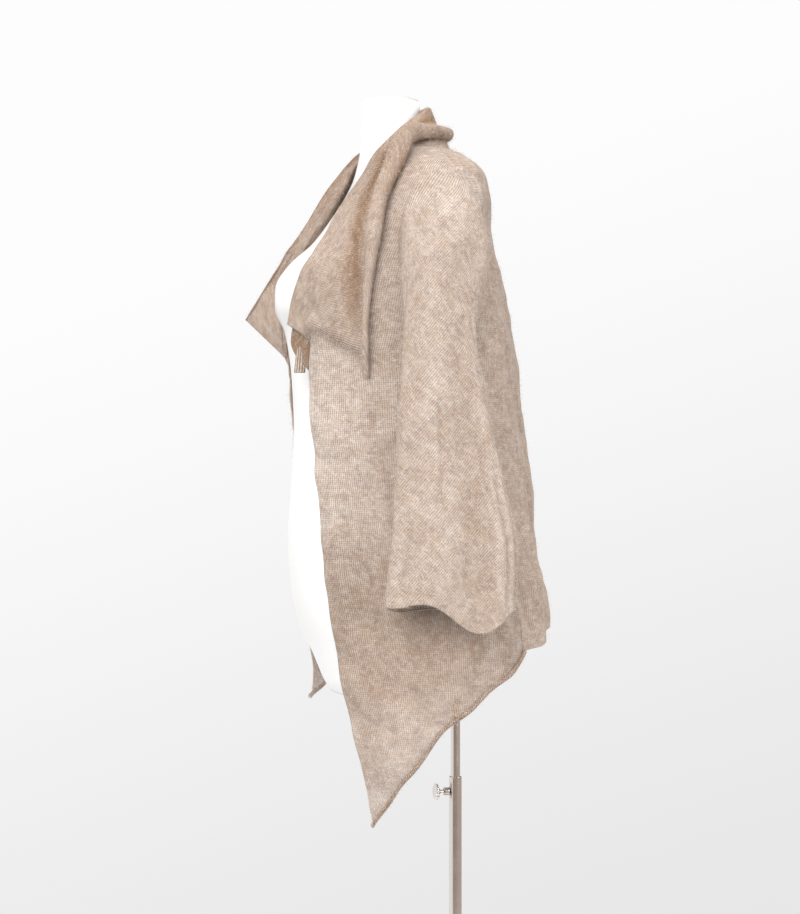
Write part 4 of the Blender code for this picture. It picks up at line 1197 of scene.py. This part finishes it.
def collar_grid(ways):
    """The collar's points, up its stand, over its roll line, down its fall and round its curled edge."""
    def station(name, at):
        return np.stack([read(COLLAR, "seam", f"{name}_{axis}", at) for axis in "xyz"], axis=-1)

    def unit(vector):
        return vector / np.linalg.norm(vector, axis=-1, keepdims=True)

    roll, edge = station("roll", ways), station("edge", ways)
    along = unit(station("roll", ways + 0.01) - station("roll", ways - 0.01))
    down = unit(edge - roll)
    out = unit(np.cross(along, down))
    fold = read(COLLAR, "seam", "fold", ways)[:, None]
    curl = read(COLLAR, "seam", "curl", ways)[:, None] * CURL_SWELL
    trough = VALLEY * ease_in(*VALLEY_STARTS, np.abs(ways)) * (1 - ease_in(*VALLEY_ENDS, np.abs(ways)))
    bow = BOW * ease_in(*BOW_WAYS, ways)[:, None] * BOW_TOWARDS
    hub = roll + down * fold
    seam = cloth_points(*neckline(ways))
    foot, shoulder = hub - out * fold, hub + out * fold
    columns = []
    for t in np.linspace(0, 1, COLLAR_COLUMNS["stand"], endpoint=False):
        columns.append(seam + (foot - seam) * t + bow * math.sin(math.pi * t))
    for turn in np.linspace(0, math.pi, COLLAR_COLUMNS["roll"], endpoint=False):
        columns.append(hub - out * fold * math.cos(turn) - down * fold * math.sin(turn))
    for t in np.linspace(0, 1, COLLAR_COLUMNS["fall"], endpoint=False):
        sunk = trough[:, None] * np.exp(-((t - valley_place(ways)) / VALLEY_WIDTH) ** 2)
        columns.append(shoulder + (edge - shoulder) * t - out * sunk)
    grid = np.stack(columns, axis=1)
    clear = pushed_clear(grid, section_at(FORM, grid[..., 2] - RISE), NECK_EASE)
    clear[:, 0] = grid[:, 0]
    first = COLLAR_COLUMNS["stand"] + COLLAR_COLUMNS["roll"]
    fall = clear[:, first:]
    fall = pushed_clear(fall, cloth_section(fall[..., 2] - FALL_LIFT), FALL_GAP - trough[:, None] * 0.8)
    down_fall = np.linspace(0, 1, fall.shape[1])
    lie = ease_in(LIE_DOWN_FROM_WAY, 1.0, ways)[:, None] * ease_in(0.22, 0.60, down_fall)
    fall = drawn_in(fall, cloth_section(fall[..., 2]), LIE_DOWN_GAP, lie)
    ahead = unit(fall[:, -1] - fall[:, -4])
    up = unit(np.cross(np.gradient(fall[:, -1], axis=0), ahead))
    rolls = []
    full_turn = CURL_TURN * (CURL_RIGHT + (1 - CURL_RIGHT) * ease_in(-0.35, -0.05, ways))[:, None]
    for share in np.linspace(0, 1, COLLAR_COLUMNS["curl"])[1:]:
        tight = curl * (1 - CURL_TIGHTENS * share)
        turn = full_turn * share
        rolls.append(fall[:, -1] + ahead * tight * np.sin(turn) + up * (curl - tight * np.cos(turn)))
    return np.concatenate([clear[:, :first], fall, np.stack(rolls, axis=1)], axis=1)


def rib_strip():
    """The stand's bound-off end: a narrow strip of ribs that hangs below the lapel's fold."""
    down = np.linspace(0, 1, RIB_ROWS)[:, None, None]
    across = np.linspace(-0.5, 0.5, RIB_COLUMNS)[None, :, None]
    middle = np.array(RIB_TOP) + (np.array(RIB_FOOT) - np.array(RIB_TOP)) * down
    width = RIB_WIDTH_TOP + (RIB_WIDTH_FOOT - RIB_WIDTH_TOP) * down
    rib = np.abs(np.sin(math.pi * RIBS * (across + 0.5)))
    proud = RIB_DEPTH * rib - RIB_ROUNDING * (2 * across) ** 2
    ends = RIB_SCALLOP * rib * ease_in(0.85, 1.0, down)
    return middle + RIB_SIDEWAYS * across * width + RIB_FORWARD * proud - np.array([0, 0, 1.0]) * ends


class CARDIGAN_OT_collar(bpy.types.Operator):
    """Make the folded shawl collar, with its curled free edge and ribbed end"""

    bl_idname = "cardigan.collar"
    bl_label = "Collar"

    def execute(self, context):
        knit = context.scene.cardigan_knit
        ways = np.linspace(-1, 1, COLLAR_ROWS)
        grid = collar_grid(ways)
        flat = metres(grid)
        out = normals(grid)
        rest = ease_in(0.004, 0.02, flat[..., 0])
        move = (creased(flat, COLLAR_CREASES) + 0.7 * rippled(flat, 41)) * rest
        move *= (1 - ease_in(LIE_DOWN_FROM_WAY, 1.0, ways))[:, None]
        grid = grid + out * move[..., None]
        across = np.arange(grid.shape[1]) / grid.shape[1]
        lapel_end = ease_in(0.42, 0.54, across) * (1 - ease_in(0.76, 0.80, across))
        openness = -0.10 + 2.1 * lapel_end * ease_in(0.87, 0.995, ways)[:, None]
        cloth_piece(
            "cardigan_collar", grid, knit, metres(grid), openness, self.painted_shade_places(ways, grid.shape[1]),
            lean=COLLAR_LEAN, offset=8.0)
        strip = rib_strip()
        across = np.linspace(0, 1, RIB_COLUMNS)
        # Painted shade in the gaps between the ribs, and painted light on their crests.
        rib_painted_shade = 0.78 * (1 - np.abs(np.sin(math.pi * RIBS * across))) ** 0.8 - 0.16
        pattern = turned_pattern(metres(strip), 0.0, 9.5)
        solid = np.full(strip.shape[:2], -0.4)
        mesh = shell("collar_ribs", strip, pattern, knit.wall, solid, rib_painted_shade * np.ones((RIB_ROWS, 1)))
        link("collar_ribs", mesh, bpy.data.materials["Brushed mohair knit"], "torso")
        return {"FINISHED"}

    def painted_shade_places(self, ways, columns):
        """Painted shade on the collar: all over, by the curled edge, behind the neck, on the far side and in
        the stand's end.
        """
        column = np.arange(columns)
        down_fall = (column - COLLAR_COLUMNS["stand"] - COLLAR_COLUMNS["roll"]) / COLLAR_COLUMNS["fall"]
        round_curl = (down_fall - 1) * COLLAR_COLUMNS["fall"] / COLLAR_COLUMNS["curl"]
        far = np.abs(ways)[:, None]
        beside = BESIDE_CURL * np.exp(-((down_fall - valley_place(ways)) / VALLEY_WIDTH) ** 2)
        inside = INSIDE_CURL * ease_in(0.62, 0.90, round_curl)
        under = UNDER_CURL * np.exp(-((round_curl - 0.06) / 0.10) ** 2)
        curled = ease_in(-0.12, 0.12, ways)[:, None] * (1 - ease_in(0.74, 0.95, far))
        stand_end = (1 - ease_in(0.15, 0.25, column / columns)) * ease_in(0.84, 0.92, ways)[:, None]
        merged = ease_in(0.0, 0.3, down_fall) * ease_in(0.84, 0.97, ways)[:, None]
        behind = BEHIND_NECK * (1 - ease_in(0.32, 0.60, far))
        far_side = FAR_SIDE * ease_in(0.25, 0.55, -ways)[:, None]
        flat_shade = COLLAR_SHADE * (1 - merged) + behind + far_side
        return flat_shade + (beside + inside + under) * curled + STAND_END * stand_end


class CARDIGAN_OT_mohair_halo(bpy.types.Operator):
    """Brush loose mohair hairs out of every cut piece"""

    bl_idname = "cardigan.mohair_halo"
    bl_label = "Mohair halo"

    def execute(self, context):
        knit = context.scene.cardigan_knit
        pieces = [thing for thing in bpy.data.objects if thing.name.startswith("cardigan_")]
        for number, piece in enumerate(sorted(pieces, key=lambda thing: thing.name)):
            mesh = piece.data
            count = len(mesh.polygons)
            middle, out, area = np.empty(count * 3), np.empty(count * 3), np.empty(count)
            mesh.polygons.foreach_get("center", middle)
            mesh.polygons.foreach_get("normal", out)
            mesh.polygons.foreach_get("area", area)
            middle, out = middle.reshape(-1, 3), out.reshape(-1, 3)
            draw = np.random.default_rng(100 + number)
            hairs = int(knit.fibres * area.sum())
            area[count // 2:] *= HALO_INSIDE
            at = draw.choice(count, hairs, p=area / area.sum())
            root, normal = middle[at], out[at]
            root = root + draw.normal(0, HAIR_SPREAD, root.shape)
            lying = np.cross(normal, draw.normal(size=root.shape))
            lying /= np.linalg.norm(lying, axis=1, keepdims=True)
            lift = draw.uniform(*HAIR_LIFT, (hairs, 1)) ** 1.6
            length = knit.fibre_length * draw.uniform(HAIR_SHORTEST, 1.0, (hairs, 1))
            bend = draw.normal(0, HAIR_BEND, root.shape)
            bend[:, 2] -= HAIR_DROOP
            first = root + (lying * (1 - lift) + normal * lift) * length * 0.5
            tip = first + (lying * (1 - lift) + normal * lift * 0.7 + bend) * length * 0.5
            wide = np.cross(tip - root, normal)
            wide *= knit.fibre_width / 2 / np.maximum(np.linalg.norm(wide, axis=1, keepdims=True), 1e-9)
            corners = [root - wide, root + wide, first + wide, first - wide, tip]
            points = np.stack(corners, axis=1).reshape(-1, 3)
            start = 5 * np.arange(hairs)[:, None]
            quads, tips = start + [0, 1, 2, 3], start + [3, 2, 4]
            hair = bpy.data.meshes.new("halo")
            hair.from_pydata(points, [], [*quads.tolist(), *tips.tolist()])
            hair.shade_smooth()
            name = piece.name.replace("cardigan_", "halo_")
            link(name, hair, made_once("Mohair fibre", mohair_fibre, knit), "torso")
        return {"FINISHED"}


def foot_height(x):
    """Height of the form's cut-off foot: a step, higher on its right."""
    return FORM_FOOT_RIGHT + (FORM_FOOT_LEFT - FORM_FOOT_RIGHT) * ease_in(*FORM_STEP, x)


def plain_profile(reach, low, high):
    """The profile of a plain round solid, outside first and upward."""
    return [(reach, low), (reach, high), (0, high), (0, low)]


def turned_piece(name, node, profile, paint, body, steps=TURNED_STEPS):
    """A turned piece that stands for a node."""
    piece = link(name, turned(name, profile, steps), paint, body)
    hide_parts(node)
    return piece


class CARDIGAN_OT_torso_form(bpy.types.Operator):
    """Make the smooth white torso, its neck cap and the steel cup for the pole"""

    bl_idname = "cardigan.torso_form"
    bl_label = "Torso form"

    def execute(self, context):
        stand = context.scene.cardigan_stand
        angles = np.linspace(0, 360, FORM_COLUMNS, endpoint=False)
        top = FORM[0].height
        levels = np.linspace(top, HIP_RING, FORM_ROWS)[:, None] * np.ones(FORM_COLUMNS)
        section = section_at(FORM, levels)
        grid = round_the_axis(section, angles, radius(section, angles))
        hip = grid[-1]
        foot = foot_height(hip[:, 0])
        rows = [self.neck_rim(grid[0], shrink) for shrink in (0.02, 0.5, 0.9, 0.965, 0.99)]
        below = []
        for share in np.linspace(0, 1, FORM_FOOT_ROWS)[1:]:
            height = HIP_RING + (foot - HIP_RING) * share
            at = section_at(FORM, height)
            angle = np.degrees(np.arctan2(hip[:, 0], at.side - hip[:, 1]))
            draw_in = 1 - 0.055 * ease_in(0.80, 1.0, np.array(share)) ** 2
            below.append(round_the_axis(at, angle, radius(at, angle) * draw_in))
        last = below[-1]
        middle = last.mean(axis=0)
        for shrink in (0.97, 0.85, 0.6, 0.3, 0.02):
            ring = middle + (last - middle) * shrink
            ring[:, 2] = foot_height(ring[:, 0])
            below.append(ring - [0, 0, 0.0012 * (1 - shrink)])
        points = np.concatenate([np.array(rows), grid, np.array(below)])
        faces, _, _ = faces_of(len(points), FORM_COLUMNS, around=True)
        mesh = mesh_of("torso_shell", points.reshape(-1, 3), faces)
        shell_paint = made_once("White lacquered shell", white_lacquered_shell, stand)
        torso = link("torso_shell", mesh, shell_paint, "torso")
        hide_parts("dress_form")
        for name, node, paint in (
            ("neck_plate", "neck_cap", "Bead-blasted steel"), ("pole_cup", "pole_socket", "Satin steel"),
        ):
            low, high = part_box(node)
            profile = rounded(plain_profile((high.x - low.x) / 2, low.z, high.z), stand.bevel)
            cap = turned_piece(name, node, profile, metal(paint, stand), "torso")
            cap.location.y = (low.y + high.y) / 2
        return {"FINISHED"}

    def neck_rim(self, ring, share):
        """A ring of the neck's closed top."""
        middle = ring.mean(axis=0)
        made = middle + (ring - middle) * share
        made[:, 2] = ring[0, 2] + 0.0002
        return made


class CARDIGAN_OT_pole_stand(bpy.types.Operator):
    """Make the base plate, the lower tube with its open rim, and the sliding pole"""

    bl_idname = "cardigan.pole_stand"
    bl_label = "Pole stand"

    def execute(self, context):
        stand = context.scene.cardigan_stand
        chrome, steel = metal("Chromed tube", stand), metal("Satin steel", stand)
        low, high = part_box("base_plate")
        plate = rounded(plain_profile(high.x, low.z, high.z), PLATE_BEVEL)
        turned_piece("base_disc", "base_plate", plate, steel, "stand", steps=160)
        low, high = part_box("lower_tube")
        floor = low.z + TUBE_FLOOR
        tube = [
            (high.x, low.z), (high.x, high.z),
            (TUBE_BORE, high.z), (TUBE_BORE, floor), (0, floor), (0, low.z),
        ]
        turned_piece("stand_tube", "lower_tube", rounded(tube, stand.bevel), chrome, "stand")
        low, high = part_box("pole")
        rod = rounded(plain_profile(high.x, low.z, high.z), stand.bevel)
        turned_piece("mast_rod", "pole", rod, chrome, "mast")
        return {"FINISHED"}


class CARDIGAN_OT_clamp(bpy.types.Operator):
    """Make the clamp's boss and its scalloped thumb screw"""

    bl_idname = "cardigan.clamp"
    bl_label = "Clamp"

    def execute(self, context):
        stand = context.scene.cardigan_stand
        low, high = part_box("screw_boss")
        reach, long = (high.x - low.x) / 2, high.y - low.y
        screw_low, screw_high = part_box("thumb_screw")
        head = (screw_high.x - screw_low.x) / 2
        boss = [(reach, 0), (reach, long), (SCREW_SHANK, long), (SCREW_SHANK, 0)]
        start = high.y - screw_high.y
        end = high.y - screw_low.y
        back = end - SCREW_HEAD
        screw = [
            (SCREW_SHANK, start), (SCREW_SHANK, back - 0.003), (SCREW_NECK, back - 0.002), (SCREW_NECK, back),
            (head * SCREW_FACE, back), (head, back + SCREW_CHAMFER), (head, end - SCREW_CHAMFER),
            (head * SCREW_FACE, end), (head * 0.5, end - 0.0012), (0, end - 0.0016), (0, start),
        ]
        # The profiles are turned about Z and then laid along -Y.
        laid = np.array([[1, 0, 0], [0, 0, -1], [0, 1, 0]])
        for name, node, corners, bevel, lobes, paint, body, slot in (
            ("clamp_boss", "screw_boss", boss, 0.0006, 0, "Satin steel", "stand", "satin_steel"),
            (
                "clamp_screw_head", "thumb_screw", screw, 0.0007, LOBES,
                "Chromed tube", "clamp", "chromed_tube",
            ),
        ):
            mesh = turned(name, rounded(corners, bevel), SCREW_STEPS, lobes, LOBE_DEPTH if lobes else 0.0)
            points = np.array([v.co for v in mesh.vertices]) @ laid.T
            points += [0, high.y, (screw_low.z + screw_high.z) / 2]
            mesh.vertices.foreach_set("co", points.reshape(-1))
            mesh.update()
            piece = link(name, mesh, metal(paint, stand), body)
            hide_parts(node)
        return {"FINISHED"}


class CARDIGAN_OT_stage(bpy.types.Operator):
    """Set the camera, the soft light, the pale surroundings and the floor"""

    bl_idname = "cardigan.stage"
    bl_label = "Stage"

    def execute(self, context):
        stage = context.scene.cardigan_stage
        scene = context.scene
        scene.view_settings.view_transform = "Standard"
        scene.cycles.transparent_max_bounces = 24
        lens = bpy.data.cameras.new("photo_camera")
        lens.sensor_width, lens.lens = CAMERA_SENSOR, CAMERA_LENS
        camera = bpy.data.objects.new("photo_camera", lens)
        away = Vector((math.sin(CAMERA_AZIMUTH), -math.cos(CAMERA_AZIMUTH), 0.0))
        camera.location = CAMERA_TARGET + away * CAMERA_DISTANCE
        camera.rotation_euler = (-away).to_track_quat("-Z", "Y").to_euler()
        scene.collection.objects.link(camera)
        scene.camera = camera
        self.surroundings(scene, stage)
        self.soft_box("key_light", stage.key, KEY_LIGHT)
        self.soft_box("fill_light", stage.fill, FILL_LIGHT)
        self.floor(stage)
        return {"FINISHED"}

    def surroundings(self, scene, stage):
        """Even white all round, a little greyer below."""
        world = bpy.data.worlds.new("white_surroundings")
        scene.world = world
        world.use_nodes = True
        tree = world.node_tree
        tree.nodes.clear()
        where = add(tree, "ShaderNodeTexCoord").outputs["Generated"]
        up = add(tree, "ShaderNodeSeparateXYZ", {0: where}).outputs["Z"]
        slope = vector(tree, "DOT_PRODUCT", where, (0.0, -0.35, 1.0), output="Value")
        height = remapped(tree, slope, -0.45, 0.12, steps="SMOOTHSTEP")
        white = mixed(tree, height, opaque(linear("#E6E6E7")), opaque(linear("#FDFDFD")))
        above = remapped(tree, up, -0.6, 0.7, 0.22 * stage.sky, 1.35 * stage.sky)
        # The room behind the camera is brown and dim, and shows only in what shines.
        turn = CAMERA_AZIMUTH + ROOM_TURN
        room = (math.sin(turn), -math.cos(turn), 0.0)
        beside = (math.cos(turn), math.sin(turn), 0.0)
        facing = vector(tree, "DOT_PRODUCT", where, room, output="Value")
        across = vector(tree, "DOT_PRODUCT", where, beside, output="Value")
        lit = remapped(tree, across, -0.8, 0.8)
        brown = mixed(tree, lit, opaque(linear("#A5948A")), opaque(linear("#C3B4AA")))
        dim = remapped(tree, facing, -0.10, 0.12, steps="SMOOTHSTEP")
        walls = mixed(tree, dim, opaque(linear("#FFFFFF")), brown)
        seen, light, shine = (
            add(tree, "ShaderNodeBackground", {"Color": colour, "Strength": strength}).outputs[0]
            for colour, strength in ((white, 1.0), (white, above), (walls, 1.0)))
        rays = add(tree, "ShaderNodeLightPath").outputs
        both = between(tree, rays["Is Camera Ray"], between(tree, rays["Is Glossy Ray"], light, shine), seen)
        add(tree, "ShaderNodeOutputWorld", {"Surface": both})

    def soft_box(self, name, power, box):
        data = bpy.data.lights.new(name, "AREA")
        data.energy, data.size = power, box.size
        lamp = bpy.data.objects.new(name, data)
        lamp.location = box.place
        lamp.rotation_euler = (Vector(box.target) - Vector(box.place)).to_track_quat("-Z", "Y").to_euler()
        bpy.context.scene.collection.objects.link(lamp)

    def floor(self, stage):
        """A pale ground that fades out towards its rim."""
        material, tree = blank_material("Pale floor")
        place = add(tree, "ShaderNodeTexCoord").outputs["Object"]
        far = vector(tree, "LENGTH", place, output="Value")
        fade = remapped(tree, far, FLOOR_FADES_FROM, stage.floor, steps="SMOOTHSTEP")
        tone = remapped(tree, noise(tree, place, 40.0, 4.0), 0.3, 0.7, 0.84, 0.87)
        paper = add(tree, "ShaderNodeBsdfDiffuse", {"Color": tone}).outputs[0]
        clear = add(tree, "ShaderNodeBsdfTransparent").outputs[0]
        add(tree, "ShaderNodeOutputMaterial", {"Surface": between(tree, fade, paper, clear)})
        turns = np.linspace(0, 2 * math.pi, FLOOR_STEPS, endpoint=False)
        rings = np.array([0.001, 0.4, 0.8, stage.floor])[:, None]
        level = np.zeros((len(rings), FLOOR_STEPS))
        points = np.stack([rings * np.cos(turns), rings * np.sin(turns), level], axis=-1)
        faces, _, _ = faces_of(len(rings), FLOOR_STEPS, around=True)
        mesh = bpy.data.meshes.new("floor")
        mesh.from_pydata(points.reshape(-1, 3), [], faces)
        mesh.materials.append(material)
        ground = bpy.data.objects.new("floor", mesh)
        bpy.context.scene.collection.objects.link(ground)


class CARDIGAN_PT_panel(bpy.types.Panel):
    """Lists the pieces and their settings"""

    bl_label = "Cardigan"
    bl_idname = "CARDIGAN_PT_panel"
    bl_space_type = "VIEW_3D"
    bl_region_type = "UI"
    bl_category = "Cardigan"

    def draw(self, context):
        for name in SETTINGS:
            group = getattr(context.scene, name)
            box = self.layout.box()
            for key in group.__annotations__:
                box.prop(group, key)
        for maker in MAKERS:
            self.layout.operator(maker.bl_idname)


SETTINGS = {"cardigan_knit": KnitSettings, "cardigan_stand": StandSettings, "cardigan_stage": StageSettings}
MAKERS = [
    CARDIGAN_OT_stage, CARDIGAN_OT_torso_form, CARDIGAN_OT_pole_stand, CARDIGAN_OT_clamp, CARDIGAN_OT_back,
    CARDIGAN_OT_fronts, CARDIGAN_OT_sleeves, CARDIGAN_OT_collar, CARDIGAN_OT_mohair_halo,
]


def register():
    for kind in [*SETTINGS.values(), *MAKERS, CARDIGAN_PT_panel]:
        bpy.utils.register_class(kind)
    for name, kind in SETTINGS.items():
        setattr(bpy.types.Scene, name, bpy.props.PointerProperty(type=kind))


def unregister():
    for name in SETTINGS:
        delattr(bpy.types.Scene, name)
    for kind in reversed([*SETTINGS.values(), *MAKERS, CARDIGAN_PT_panel]):
        bpy.utils.unregister_class(kind)


def main():
    register()
    bpy.ops.cardigan.stage()
    bpy.ops.cardigan.torso_form()
    bpy.ops.cardigan.pole_stand()
    bpy.ops.cardigan.clamp()
    bpy.ops.cardigan.back()
    bpy.ops.cardigan.fronts()
    bpy.ops.cardigan.sleeves()
    bpy.ops.cardigan.collar()
    bpy.ops.cardigan.mohair_halo()


if __name__ == "__main__":
    main()
